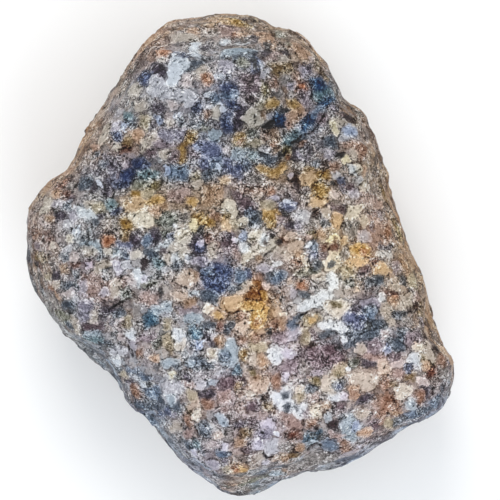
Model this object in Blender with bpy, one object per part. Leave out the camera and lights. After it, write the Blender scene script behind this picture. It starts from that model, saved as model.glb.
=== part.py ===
"""A loose cobble of coarse granite, lying on its back on a small flat spot.

+X and +Y span the broad face, +Z points out of it. The origin is the middle of
the bounding box at floor level. Lengths in the tables are millimetres.
"""

import math

import bmesh
import bpy
import numpy as np
from mathutils import Vector, noise

MM = 0.001

# Driving dimensions of the stone
LENGTH = 150.0
THICKNESS = 72.0
UNDER_DEPTH = 33.0
FACE_HEIGHT = THICKNESS - UNDER_DEPTH
FLAT_SPOT_CUT = 1.8

# Mesh: cells across the face, and cells down the side
CELLS_ACROSS = 34
CELLS_DOWN = 17

# The widest line seen from above, clockwise from the upper left
OUTLINE_LENGTH = 150.0
OUTLINE = [
    (-25.7, 70.0), (-19.0, 72.8), (-8.0, 73.3), (4.0, 75.0), (8.8, 71.6), (17.4, 68.2),
    (22.6, 62.3), (27.6, 55.4), (30.8, 47.2), (36.0, 43.2), (41.4, 34.2), (43.7, 26.0),
    (46.3, 15.2), (49.2, 6.0), (54.6, -4.8), (58.5, -20.5), (60.8, -26.6), (65.2, -30.6),
    (66.7, -34.6), (63.9, -41.8), (58.6, -49.4), (49.7, -54.4), (38.0, -61.5), (27.5, -66.6),
    (19.8, -67.0), (13.4, -68.9), (7.5, -72.6), (2.6, -75.0), (-4.2, -74.1), (-9.2, -71.6),
    (-19.2, -65.6), (-24.8, -59.2), (-30.6, -51.2), (-35.8, -46.4), (-42.8, -35.9), (-50.4, -29.4),
    (-55.3, -24.8), (-61.2, -15.3), (-64.9, -10.3), (-66.6, 1.0), (-65.2, 14.3), (-60.2, 22.6),
    (-53.6, 26.8), (-50.4, 33.4), (-46.1, 41.1), (-42.4, 48.5), (-36.2, 58.3), (-31.6, 63.9),
]

# Round the stone: bearing in degrees from +X, how far the widest line lies above
# (+) or below (-) its mean height, and how square the shoulder above it is
FLANKS = [
    (0, -5.0, 3.9), (40, -2.0, 3.6), (58, 4.0, 3.0), (90, -5.0, 3.4), (125, -6.0, 3.6),
    (155, 5.0, 2.9), (185, 3.0, 2.6), (215, -2.0, 2.8), (240, -4.0, 3.2), (268, 2.0, 3.2),
    (300, -7.0, 3.8), (332, -1.0, 3.4),
]
UNDER_SQUARENESS = 2.7
# The notches of the outline fade out below the widest line, and less so above it
NOTCH_FADE_BELOW = 6.0
NOTCH_FADE_ABOVE = 2.5
NOTCH_WIDTH = 15.0

# The step under the upper lobe: its line across the face, from the notch in the
# left edge to the notch in the right edge, with its depth at each point
STEP_LINE = [
    (-58.0, 25.0, 1.5), (-45.0, 20.0, 4.0), (-34.0, 20.5, 4.6), (-23.5, 23.0, 4.6),
    (-12.5, 27.0, 4.8), (-2.0, 30.5, 5.0), (6.5, 35.0, 5.6), (15.0, 40.5, 6.4),
    (23.5, 44.5, 6.6), (33.0, 47.5, 4.0),
]
STEP_UPPER_REACH = 7.0
STEP_LOWER_REACH = 15.0

# Lumps (+) and hollows (-): middle, radius and height, in the stone's own frame
SWELLINGS = [
    ((-22.0, 52.0, 68.0), 21.0, 3.4),
    ((3.0, 58.0, 68.0), 13.0, 1.8),
    ((20.0, 56.0, 62.0), 11.0, -3.2),
    ((40.0, 12.0, 66.0), 11.0, -2.2),
    ((30.0, 22.0, 70.0), 11.0, 2.4),
    ((-46.0, 2.0, 66.0), 15.0, 2.2),
    ((-4.0, 4.0, 72.0), 20.0, 2.2),
    ((4.0, -13.0, 71.0), 7.0, -1.8),
    ((36.0, -22.0, 68.0), 15.0, 2.0),
    ((-26.0, -22.0, 69.0), 12.0, -2.0),
    ((-8.0, -36.0, 68.0), 15.0, 2.0),
    ((20.0, -46.0, 66.0), 10.0, -2.0),
    ((4.0, -60.0, 60.0), 12.0, 2.0),
    ((58.0, -36.0, 55.0), 9.0, 2.4),
    ((44.0, -44.0, 62.0), 9.0, -1.6),
    ((-30.0, 30.0, 6.0), 20.0, 3.0),
    ((34.0, -38.0, 8.0), 18.0, -3.4),
    ((28.0, 34.0, 8.0), 16.0, -3.0),
    ((-44.0, -22.0, 12.0), 15.0, -2.6),
    ((-6.0, -58.0, 12.0), 16.0, 2.6),
    ((60.0, -10.0, 30.0), 14.0, -1.2),
    ((-40.0, 50.0, 30.0), 12.0, -1.0),
]

# Old joint faces, worn nearly flat. Each touches the outline at its bearing, at a
# height, and leans back by some degrees: above that height (+) or below it (-)
JOINT_FACES = [
    (12, 34, 13), (28, 26, -18), (66, 42, 24), (95, 33, 30), (104, 24, -24), (142, 38, 17),
    (150, 30, -15), (184, 32, -26), (196, 42, 26), (228, 28, -16), (236, 38, 18), (262, 32, -28),
    (281, 33, 24), (300, 26, -14), (305, 36, 15), (334, 28, -24), (345, 36, 10), (356, 22, -20),
]
JOINT_SOFTNESS = 1.6
# Broad faces of the underside: bearing, lean from level, and distance from the middle
UNDER_FACES = [(318, 15, 32.5), (128, 12, 32.0), (214, 20, 36.0), (48, 24, 39.0)]

# Roughness of the whole skin: size of the swells, height, and seed offset
ROUGHNESS = [(26.0, 1.8, 3.1), (12.0, 1.4, 17.7), (7.0, 0.8, 41.3)]
LEDGES = [(17.0, 2.0), (10.0, 1.2)]
EDGE_SHARE = 0.6
# After the roughness the outline is put back, in sectors this wide, by moving the
# outermost band of the flanks. The mesh's straight edges run a little inside it
SECTOR_DEGREES = 8
OUTLINE_BAND = 0.12
CHORD_ALLOWANCE = 0.45


def closed_curve(points, steps):
    """Points of a smooth closed curve through the given ones."""
    count = len(points)
    curve = []
    for index in range(count):
        before, start, end, after = (
            Vector(points[(index + offset) % count]) for offset in (-1, 0, 1, 2))
        for step in range(steps):
            t = step / steps
            curve.append(0.5 * (2.0 * start + (end - before) * t
                                + (2.0 * before - 5.0 * start + 4.0 * end - after) * t ** 2
                                + (3.0 * start - before - 3.0 * end + after) * t ** 3))
    return curve


def outline_by_degree():
    """The outline's radius at each whole degree, as it is and with its notches worn away."""
    scale = LENGTH / OUTLINE_LENGTH
    curve = [point * scale for point in closed_curve(OUTLINE, 6)]
    pairs = np.array(sorted((math.degrees(math.atan2(point.y, point.x)), point.length)
                            for point in curve))
    degrees = np.arange(360)
    sharp = np.interp(degrees, pairs[:, 0], pairs[:, 1], period=360.0)
    apart = (degrees + 180) % 360 - 180
    weight = np.exp(-(apart / NOTCH_WIDTH) ** 2)
    worn = np.array([np.roll(weight, degree) @ sharp for degree in degrees]) / weight.sum()
    return sharp, worn


def radius_at(radii, bearing):
    """A radius read between whole degrees."""
    degrees = math.degrees(bearing) % 360.0
    low = int(degrees)
    return radii[low] + (radii[(low + 1) % 360] - radii[low]) * (degrees - low)


def flank_at(bearing, column):
    """One of the FLANKS values, blended smoothly between its bearings."""
    degrees = math.degrees(bearing) % 360.0
    rows = FLANKS + [(360.0 + FLANKS[0][0],) + FLANKS[0][1:]]
    for low, high in zip(rows, rows[1:]):
        if low[0] <= degrees <= high[0]:
            t = (degrees - low[0]) / (high[0] - low[0])
            t = t * t * (3.0 - 2.0 * t)
            return low[column] + (high[column] - low[column]) * t
    return rows[0][column]


def gridded_box():
    """A box of side 2 whose faces are cut into cells."""
    mesh = bmesh.new()
    bmesh.ops.create_cube(mesh, size=2.0)
    level = [edge for edge in mesh.edges
             if abs(edge.verts[0].co.z - edge.verts[1].co.z) < 0.1]
    bmesh.ops.subdivide_edges(mesh, edges=level, cuts=CELLS_ACROSS - 1, use_grid_fill=True)
    upright = [edge for edge in mesh.edges
               if abs(edge.verts[0].co.z - edge.verts[1].co.z) > 0.1]
    bmesh.ops.subdivide_edges(mesh, edges=upright, cuts=CELLS_DOWN - 1, use_grid_fill=True)
    return mesh


def bearing_and_reach(x, y):
    """Turn a place in a square into a bearing and a share of the way to the rim."""
    reach = max(abs(x), abs(y))
    if reach < 1e-9:
        return 0.0, 0.0
    if abs(x) >= abs(y):
        bearing = math.pi / 4.0 * (y / x) + (0.0 if x > 0.0 else math.pi)
    else:
        bearing = math.pi / 2.0 - math.pi / 4.0 * (x / y) + (0.0 if y > 0.0 else math.pi)
    return math.remainder(bearing, 2.0 * math.pi), reach


def body_point(place, outline):
    """Wrap a place on the box round the pillow shape of the stone."""
    bearing, reach = bearing_and_reach(place.x, place.y)
    upper = place.z >= 0.0
    squareness = flank_at(bearing, 2) if upper else UNDER_SQUARENESS
    shrink = (reach ** squareness + abs(place.z) ** squareness) ** (1.0 / squareness)
    across = reach / shrink
    height = place.z / shrink
    sharp, worn = (radius_at(radii, bearing) for radii in outline)
    fade = min(1.0, (NOTCH_FADE_ABOVE if upper else NOTCH_FADE_BELOW) * (1.0 - across))
    radius = sharp + (worn - sharp) * fade
    rise = flank_at(bearing, 1) * across ** 3
    depth = FACE_HEIGHT if upper else UNDER_DEPTH
    return Vector((radius * across * math.cos(bearing),
                   radius * across * math.sin(bearing),
                   UNDER_DEPTH + rise + depth * height)), across


def joint_planes(outline):
    """Every joint face as the way it faces and its distance from the origin."""
    sharp = outline[0]
    bearings = np.radians(np.arange(360))
    rim = np.stack([sharp * np.cos(bearings), sharp * np.sin(bearings)], axis=1)
    planes = []
    for degrees, height, lean in JOINT_FACES:
        bearing, tilt = math.radians(degrees), math.radians(lean)
        reach = (rim @ np.array([math.cos(bearing), math.sin(bearing)])).max()
        facing = Vector((math.cos(bearing) * math.cos(tilt),
                         math.sin(bearing) * math.cos(tilt), math.sin(tilt)))
        touch = Vector((math.cos(bearing) * reach, math.sin(bearing) * reach, height))
        planes.append((facing, touch.dot(facing) + JOINT_SOFTNESS / 2.0))
    middle = Vector((0.0, 0.0, UNDER_DEPTH))
    for degrees, lean, distance in UNDER_FACES:
        bearing, tilt = math.radians(degrees), math.radians(lean)
        facing = Vector((math.cos(bearing) * math.sin(tilt),
                         math.sin(bearing) * math.sin(tilt), -math.cos(tilt)))
        planes.append((facing, middle.dot(facing) + distance))
    return planes


def press_joint_faces(point, planes):
    """Push a point that stands outside a joint face back onto it, softly."""
    for facing, distance in planes:
        outside = (point.dot(facing) - distance) / JOINT_SOFTNESS
        if outside > -4.0:
            point = point - facing * JOINT_SOFTNESS * math.log1p(math.exp(outside))
    return point


def step_depth(point):
    """Depth of the step below the upper lobe: steep above its line, easy below it."""
    nearest = None
    for start, end in zip(STEP_LINE, STEP_LINE[1:]):
        a = Vector(start[:2])
        along = Vector(end[:2]) - a
        t = max(0.0, min(1.0, (point.xy - a).dot(along) / along.length_squared))
        offset = point.xy - (a + along * t)
        if nearest is None or offset.length < nearest[0]:
            side = along.x * offset.y - along.y * offset.x
            nearest = (offset.length, side, start[2] + (end[2] - start[2]) * t)
    distance, side, depth = nearest
    reach = STEP_UPPER_REACH if side > 0.0 else STEP_LOWER_REACH
    return depth * math.exp(-(distance / reach) ** 2)


def relief(point):
    """Height of the skin's lumps, hollows, ledges and roughness at a point."""
    height = 0.0
    for centre, radius, rise in SWELLINGS:
        distance = (point - Vector(centre)).length
        height += rise * math.exp(-(distance / radius) ** 2)
    for size, rise, seed in ROUGHNESS:
        height += rise * noise.noise(point / size + Vector((seed, seed, seed)))
    for size, rise in LEDGES:
        nearest = noise.voronoi(point / size)[0][0]
        height += rise * (0.5 - min(1.0, nearest * 1.6))
    return height


def shape_stone():
    """The finished mesh of the stone, in metres, resting on its flat spot."""
    outline = outline_by_degree()
    planes = joint_planes(outline)
    mesh = gridded_box()
    across = {}
    for vert in mesh.verts:
        vert.co, across[vert] = body_point(vert.co, outline)
        vert.co = press_joint_faces(vert.co, planes)
    mesh.normal_update()
    moved = {}
    for vert in mesh.verts:
        share = 1.0 - (1.0 - EDGE_SHARE) * across[vert] ** 8
        offset = vert.normal * relief(vert.co) * share
        if vert.normal.z > 0.0:
            offset -= Vector((0.0, 0.0, 1.0)) * step_depth(vert.co) * vert.normal.z
        moved[vert] = vert.co + offset
    for vert, place in moved.items():
        vert.co = place
    restore_outline(mesh, outline[0])
    settle_on_floor(mesh)
    bmesh.ops.triangulate(mesh, faces=mesh.faces[:])
    bmesh.ops.recalc_face_normals(mesh, faces=mesh.faces[:])
    return mesh


def restore_outline(mesh, sharp):
    """Move the flanks in or out, so that seen from above the stone has its outline again."""
    sectors = 360 // SECTOR_DEGREES
    widest = np.zeros(sectors)
    for vert in mesh.verts:
        sector = int(math.degrees(math.atan2(vert.co.y, vert.co.x)) % 360.0 // SECTOR_DEGREES)
        widest[sector] = max(widest[sector], vert.co.xy.length)
    wanted = sharp.reshape(sectors, SECTOR_DEGREES).mean(axis=1) + CHORD_ALLOWANCE
    middles = (np.arange(sectors) + 0.5) * SECTOR_DEGREES
    degrees = np.arange(360)
    ratio = np.interp(degrees, middles, wanted / widest, period=360.0)
    reach = np.interp(degrees, middles, widest, period=360.0)
    for vert in mesh.verts:
        bearing = math.atan2(vert.co.y, vert.co.x)
        inside = 1.0 - vert.co.xy.length / radius_at(reach, bearing)
        share = max(0.0, 1.0 - inside / OUTLINE_BAND) ** 2
        stretch = 1.0 + (radius_at(ratio, bearing) - 1.0) * share
        vert.co.x *= stretch
        vert.co.y *= stretch


def settle_on_floor(mesh):
    """Flatten the lowest spot at floor level, centre the stone and give it its full size."""
    places = np.array([vert.co for vert in mesh.verts])
    low, high = places.min(axis=0), places.max(axis=0)
    floor = low[2] + FLAT_SPOT_CUT
    middle = (low + high) / 2.0
    level_scale = LENGTH / (high[1] - low[1]) * MM
    upright_scale = THICKNESS / (high[2] - floor) * MM
    for vert in mesh.verts:
        vert.co = Vector(((vert.co.x - middle[0]) * level_scale,
                          (vert.co.y - middle[1]) * level_scale,
                          max(0.0, vert.co.z - floor) * upright_scale))


def granite():
    """Grey-mauve granite, rough and without shine."""
    material = bpy.data.materials.new("granite")
    material.use_nodes = True
    surface = material.node_tree.nodes["Principled BSDF"]
    surface.inputs["Base Color"].default_value = (0.27, 0.245, 0.24, 1.0)
    surface.inputs["Roughness"].default_value = 0.75
    surface.inputs["Metallic"].default_value = 0.0
    material.diffuse_color = (0.27, 0.245, 0.24, 1.0)
    return material


def main():
    for thing in list(bpy.data.objects):
        bpy.data.objects.remove(thing)
    stone = bpy.data.meshes.new("granite_cobble")
    shaped = shape_stone()
    shaped.to_mesh(stone)
    shaped.free()
    stone.materials.append(granite())
    stone.shade_smooth()
    cobble = bpy.data.objects.new("granite_cobble", stone)
    bpy.context.scene.collection.objects.link(cobble)


main()
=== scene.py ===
# %% [markdown]
# # A cobble of coarse granite
#
# This lesson dresses one loose stone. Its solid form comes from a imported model, and is
# only read here. What is made here is what makes granite look like granite: the
# crystals, each with its own colour, gloss and relief, and the weather's stains.
# Lengths are metres, unless a name says otherwise.

import bmesh
import bpy
import numpy as np
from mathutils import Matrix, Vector, noise


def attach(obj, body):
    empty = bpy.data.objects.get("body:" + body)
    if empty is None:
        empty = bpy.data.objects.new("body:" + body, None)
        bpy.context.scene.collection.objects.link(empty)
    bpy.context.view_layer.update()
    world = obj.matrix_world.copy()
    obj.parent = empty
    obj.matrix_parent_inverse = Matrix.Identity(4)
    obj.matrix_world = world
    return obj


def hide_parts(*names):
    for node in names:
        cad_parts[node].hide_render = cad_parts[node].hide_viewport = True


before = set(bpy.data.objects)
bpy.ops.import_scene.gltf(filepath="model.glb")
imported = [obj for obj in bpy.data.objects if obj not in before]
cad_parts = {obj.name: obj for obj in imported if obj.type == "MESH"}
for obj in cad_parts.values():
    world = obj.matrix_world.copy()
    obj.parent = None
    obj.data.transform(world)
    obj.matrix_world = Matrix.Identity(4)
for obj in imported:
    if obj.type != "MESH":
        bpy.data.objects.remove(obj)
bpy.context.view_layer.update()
MM = 0.001
bare_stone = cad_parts["granite_cobble"]

# %% [markdown]
# ## The camera
#
# The stone lies on its back, so the camera looks straight down on its broad face. A
# long lens keeps the flanks narrow, as in the photograph. Places on the stone are read
# from the photograph in its own pixels, so the camera also fixes how a pixel becomes a
# place: `pixel_of` gives the pixel in which any point of the stone is seen.

# %% Set the camera
PHOTO_SIZE = 500.0
PHOTO_PIXEL = 0.308 * MM
STONE_MIDDLE_PIXEL = (241.6, 253.4)
GIRTH_HEIGHT = 33.0 * MM
LENS = 200.0
SENSOR = 36.0

view_width = PHOTO_SIZE * PHOTO_PIXEL
camera_rise = view_width * LENS / SENSOR
camera_place = Vector(((PHOTO_SIZE / 2 - STONE_MIDDLE_PIXEL[0]) * PHOTO_PIXEL,
                       (STONE_MIDDLE_PIXEL[1] - PHOTO_SIZE / 2) * PHOTO_PIXEL,
                       GIRTH_HEIGHT + camera_rise))

camera_data = bpy.data.cameras.new("camera")
camera_data.lens = LENS
camera_data.sensor_width = SENSOR
camera_data.clip_end = 10.0
camera = bpy.data.objects.new("camera", camera_data)
camera.location = camera_place
bpy.context.scene.collection.objects.link(camera)
bpy.context.scene.camera = camera


def pixel_of(places):
    """The photograph's pixel (x, y) in which each place (n x 3, metres) is seen."""
    depth = camera_place.z - places[:, 2]
    scale = PHOTO_SIZE * LENS / SENSOR / depth
    x = PHOTO_SIZE / 2 + (places[:, 0] - camera_place.x) * scale
    y = PHOTO_SIZE / 2 - (places[:, 1] - camera_place.y) * scale
    return np.stack([x, y], axis=1)


print("camera height", round(camera_place.z, 3), "m")

# %% [markdown]
# ## Light and floor
#
# The light in the photograph is soft daylight that comes from the top of the picture:
# faces that tilt up are warm and light, and those that tilt down are bluish. A large
# warm panel and a weaker bluish one opposite do that, in a room of even pale light that
# keeps every shadow soft. One strong lamp would be simpler, but it would blacken the
# flank away from it. The floor is plain and pale.

# %% Hang the lights
AIM_HEIGHT = 30 * MM


def hang_panel(name, place, size, watts, colour):
    """A square soft light at a place, turned towards the stone."""
    panel = bpy.data.lights.new(name, "AREA")
    panel.size = size
    panel.energy = watts
    panel.color = colour
    lamp = bpy.data.objects.new(name, panel)
    lamp.location = place
    aim = Vector((0.0, 0.0, AIM_HEIGHT)) - Vector(place)
    lamp.rotation_euler = aim.to_track_quat("-Z", "Y").to_euler()
    bpy.context.scene.collection.objects.link(lamp)
    print(name, "at", place)


hang_panel("key_panel", place=(-0.10, 0.70, 0.75), size=0.45, watts=3.4, colour=(1.0, 0.95, 0.89))
hang_panel("fill_panel", place=(0.25, -0.70, 0.75), size=0.6, watts=3.0, colour=(0.84, 0.92, 1.0))

# %% Fill the room with pale light
SKY_COLOUR = (0.96, 0.98, 1.0, 1.0)
SKY_STRENGTH = 0.86
sky = bpy.data.worlds.new("studio")
sky.use_nodes = True
sky.node_tree.nodes["Background"].inputs["Color"].default_value = SKY_COLOUR
sky.node_tree.nodes["Background"].inputs["Strength"].default_value = SKY_STRENGTH
bpy.context.scene.world = sky
bpy.context.scene.view_settings.view_transform = "Standard"
print("room light", SKY_STRENGTH)

# %% Lay the floor
FLOOR_SIZE = 3.0
FLOOR_COLOUR = (0.97, 0.97, 0.97, 1.0)
FLOOR_ROUGHNESS = 0.8
floor_mesh = bpy.data.meshes.new("floor")
half = FLOOR_SIZE / 2
floor_mesh.from_pydata([(-half, -half, 0), (half, -half, 0), (half, half, 0), (-half, half, 0)],
                       [], [(0, 1, 2, 3)])
floor = bpy.data.objects.new("floor", floor_mesh)
bpy.context.scene.collection.objects.link(floor)
floor_paint = bpy.data.materials.new("pale_floor")
floor_paint.use_nodes = True
floor_paint.node_tree.nodes["Principled BSDF"].inputs["Base Color"].default_value = FLOOR_COLOUR
floor_paint.node_tree.nodes["Principled BSDF"].inputs["Roughness"].default_value = FLOOR_ROUGHNESS
floor_mesh.materials.append(floor_paint)
print("floor", FLOOR_SIZE, "m wide")

# %% [markdown]
# ## A finer skin
#
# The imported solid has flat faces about 3.5 mm wide. A copy of it is remeshed into even
# small squares and smoothed, which rounds the creases between those faces. Subdividing
# the faces themselves would keep their pattern visible. Then the squares that the
# camera sees are halved along each side, because that is where small crystals show.

# %% Remesh a copy of the stone
SKIN_CELL = 1.25 * MM
SMOOTH_PASSES = 5
SMOOTH_SHARE = 0.5
FINE_FACING = 0.10


def finer_skin(source):
    """An evenly meshed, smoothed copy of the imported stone."""
    rough = source.copy()
    rough.data = source.data.copy()
    rough.parent = None
    bpy.context.scene.collection.objects.link(rough)
    remesh = rough.modifiers.new("even_cells", "REMESH")
    remesh.mode = "VOXEL"
    remesh.voxel_size = SKIN_CELL
    smooth = rough.modifiers.new("round_creases", "SMOOTH")
    smooth.factor = SMOOTH_SHARE
    smooth.iterations = SMOOTH_PASSES
    settled = rough.evaluated_get(bpy.context.evaluated_depsgraph_get())
    skin = bpy.data.meshes.new_from_object(settled)
    skin.name = "granite_skin"
    bpy.data.objects.remove(rough)
    return skin


def halve_cells(skin):
    """Halve the cells that face the camera."""
    cells = bmesh.new()
    cells.from_mesh(skin)
    cells.normal_update()
    facing = [face for face in cells.faces if face.normal.z > FINE_FACING]
    edges = list({edge for face in facing for edge in face.edges})
    bmesh.ops.subdivide_edges(cells, edges=edges, cuts=1, use_grid_fill=True)
    cells.to_mesh(skin)
    cells.free()


skin = finer_skin(bare_stone)
print("even cells:", len(skin.polygons))
halve_cells(skin)
print("after halving:", len(skin.vertices), "points,", len(skin.polygons), "cells")

# %% [markdown]
# ## The crystals, one by one
#
# Granite is a mosaic of crystals: white to pink feldspar, grey to lilac quartz, dark
# mica, and feldspar that weather has turned gold or rusty. Between them lies a finer
# mixture. The crystals that show were picked out on the photograph one by one, and each
# is written here as a tone and its corners in the photograph's pixels. Sorting them by
# tone first would hide which lie side by side, so they are listed from top to bottom.

# %% Name the tones of the minerals
TONES = {
    "snow": "C8CFD8", "milk": "C4CACF", "ash": "B3B4B9", "pearl": "B8B6C2", "bone": "CBC4B6",
    "cream": "C0BAB0", "ivory": "D0C8AC", "shell": "B8A99C", "blush": "B6ACAA", "stone": "B2AAA0",
    "straw": "BDA689", "peach": "B0957F", "buff": "A39A86", "tan": "9B826B", "honey": "B29460",
    "gold": "93763F", "amber": "80592F", "orange": "A0755A", "rust": "955A34", "clay": "8C7060",
    "brick": "6C4638", "umber": "3E200E", "bronze": "7E6A4C", "olive": "786C48", "moss": "60645C",
    "sage": "87877B", "grey": "888380", "rose": "9D8A84", "mauve": "8B8086", "dusk": "6A5A60",
    "wine": "3A2024", "plum": "453C4A", "lilac": "A4A1AA", "quartz": "8A8794", "violet": "656C86",
    "steel": "637386", "mist": "9CA8B0", "ice": "9CA8BE", "teal": "6F848A", "slate": "525C68",
    "navy": "384668", "marine": "436478", "azure": "083F66", "ink": "0C1018", "black": "221E20"}
print(len(TONES), "tones")

# %% List the crystals of the upper lobe
# The azure, teal, navy and steel crystals near the right end of the groove under this lobe are listed
# as they look in its shade, so their blue is partly painted shade.
UPPER_CRYSTALS = """
umber 168,24 180,17 200,19 200,24 186,24 172,26
straw 202,19 215,16 230,14 230,22 215,21 204,24
peach 190,26 185,29 190,33 200,34 198,27
orange 155,50 162,47 172,50 168,56 160,56 155,54
cream 155,57 160,56 166,58 163,62 157,60
tan 120,75 130,60 140,47 150,40 157,27 162,29 155,43 145,52 135,64 127,78
tan 155,30 165,31 164,40 155,40
stone 170,34 200,34 198,40 172,40
navy 137,76 144,70 151,71 151,78 146,84 139,85 136,80
plum 150,61 158,60 163,64 167,72 163,80 158,78 152,74 149,66
ash 152,74 156,75 163,82 166,88 160,96 152,97 147,91 150,84
cream 128,89 131,84 137,83 141,88 138,95 132,96 127,93
milk 173,52 186,56 190,62 183,72 178,76 176,84 168,86 165,84 170,76 167,70 170,60
blush 182,74 188,73 192,84 186,88 180,84
ash 160,88 170,90 178,88 190,90 197,96 190,107 183,101 176,108 166,102 158,97
milk 191,41 199,42 200,50 203,56 196,58 188,53 187,48 190,45
plum 201,46 208,43 213,44 208,48 206,52 201,49
navy 173,49 185,52 189,56 184,56 172,52
slate 190,60 205,60 200,65 196,70 184,72 190,66
stone 196,66 203,64 209,70 205,76 200,80 196,74
orange 202,80 203,75 208,73 212,77 212,83 208,86 204,84
snow 215,78 220,73 224,71 223,76 219,80
navy 220,82 226,80 230,84 230,92 225,92 221,88
steel 208,96 215,92 222,98 216,106 210,104
milk 203,96 208,92 214,92 208,97
buff 247,12 254,10 261,12 266,16 270,21 266,23 258,23 252,20 250,15
dusk 240,14 248,13 250,18 246,21 240,19
gold 220,16 230,16 240,21 250,24 256,27 246,27 236,25 228,22 220,21
umber 256,25 268,25 270,29 262,29
rose 220,22 232,24 240,29 240,36 228,37 220,38
peach 236,30 246,29 250,33 240,37
orange 232,31 238,31 238,35 233,36
milk 220,41 230,40 228,45 221,46
mist 228,46 238,42 248,41 256,46 258,50 250,53 240,54 230,55 222,58 220,50
lilac 220,60 230,60 236,64 232,72 220,72
plum 251,35 257,36 256,41 251,40
slate 232,56 244,54 254,52 255,58 248,58 240,60 234,62
navy 249,55 256,52 258,58 262,60 260,70 254,74 250,70 252,62
ink 252,58 256,58 256,62 253,62
ink 253,63 257,64 256,68 253,67
sage 238,58 247,58 249,64 244,69 238,66
milk 260,61 265,62 264,66 260,66
ash 262,72 268,67 270,70 266,77 262,79
dusk 240,72 252,70 260,74 262,84 258,92 250,96 243,92 240,82
wine 246,79 252,79 252,85 246,85
wine 246,95 252,95 252,101 246,101
navy 220,80 228,82 234,84 238,88 236,92 226,92 220,90
steel 224,91 232,88 237,94 236,100 228,100 222,96
navy 226,100 236,100 240,108 232,112 226,106
ink 264,44 270,44 270,49 265,49
plum 260,50 270,50 270,54 264,55
plum 278,50 288,50 288,55 282,54
peach 252,30 262,29 272,34 276,42 274,48 264,44 256,38
rose 268,52 276,50 280,56 274,60 267,58
stone 274,57 288,55 290,60 280,63 274,61
bronze 270,62 290,60 294,70 284,76 274,74 268,68
clay 272,75 280,76 282,84 276,90 271,88
grey 281,73 289,73 289,83 282,83
olive 262,82 268,84 268,96 263,98 261,90
grey 270,90 280,88 284,94 282,98 272,98
honey 262,100 270,99 280,101 280,106 270,108 262,104
honey 288,99 298,100 304,108 298,112 290,108
lilac 290,81 296,81 297,89 290,89
rust 298,84 306,82 308,88 304,93 298,92
clay 292,72 300,72 304,80 298,82 292,78
lilac 301,64 305,68 306,78 303,76 300,70
plum 304,64 312,65 313,72 309,76 304,72
blush 308,56 316,57 316,61 310,62
mauve 300,90 312,94 312,104 304,106 300,98
azure 309,78 316,77 323,80 327,87 321,92 314,91
teal 315,92 324,88 331,89 336,96 330,101 322,101 315,99
azure 318,104 325,98 332,95 336,99 331,104 323,108
peach 290,38 302,40 312,50 316,56 306,58 298,54 292,46
umber 300,44 304,44 304,48 300,48
sage 272,27 282,26 290,34 290,44 284,40 276,34
bronze 280,22 300,34 314,48 328,74 332,82 326,82 310,52 298,41 280,28
umber 321,66 325,66 325,72 321,72
"""
print("upper lobe:", UPPER_CRYSTALS.count("\n") - 1, "crystals")
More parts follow.
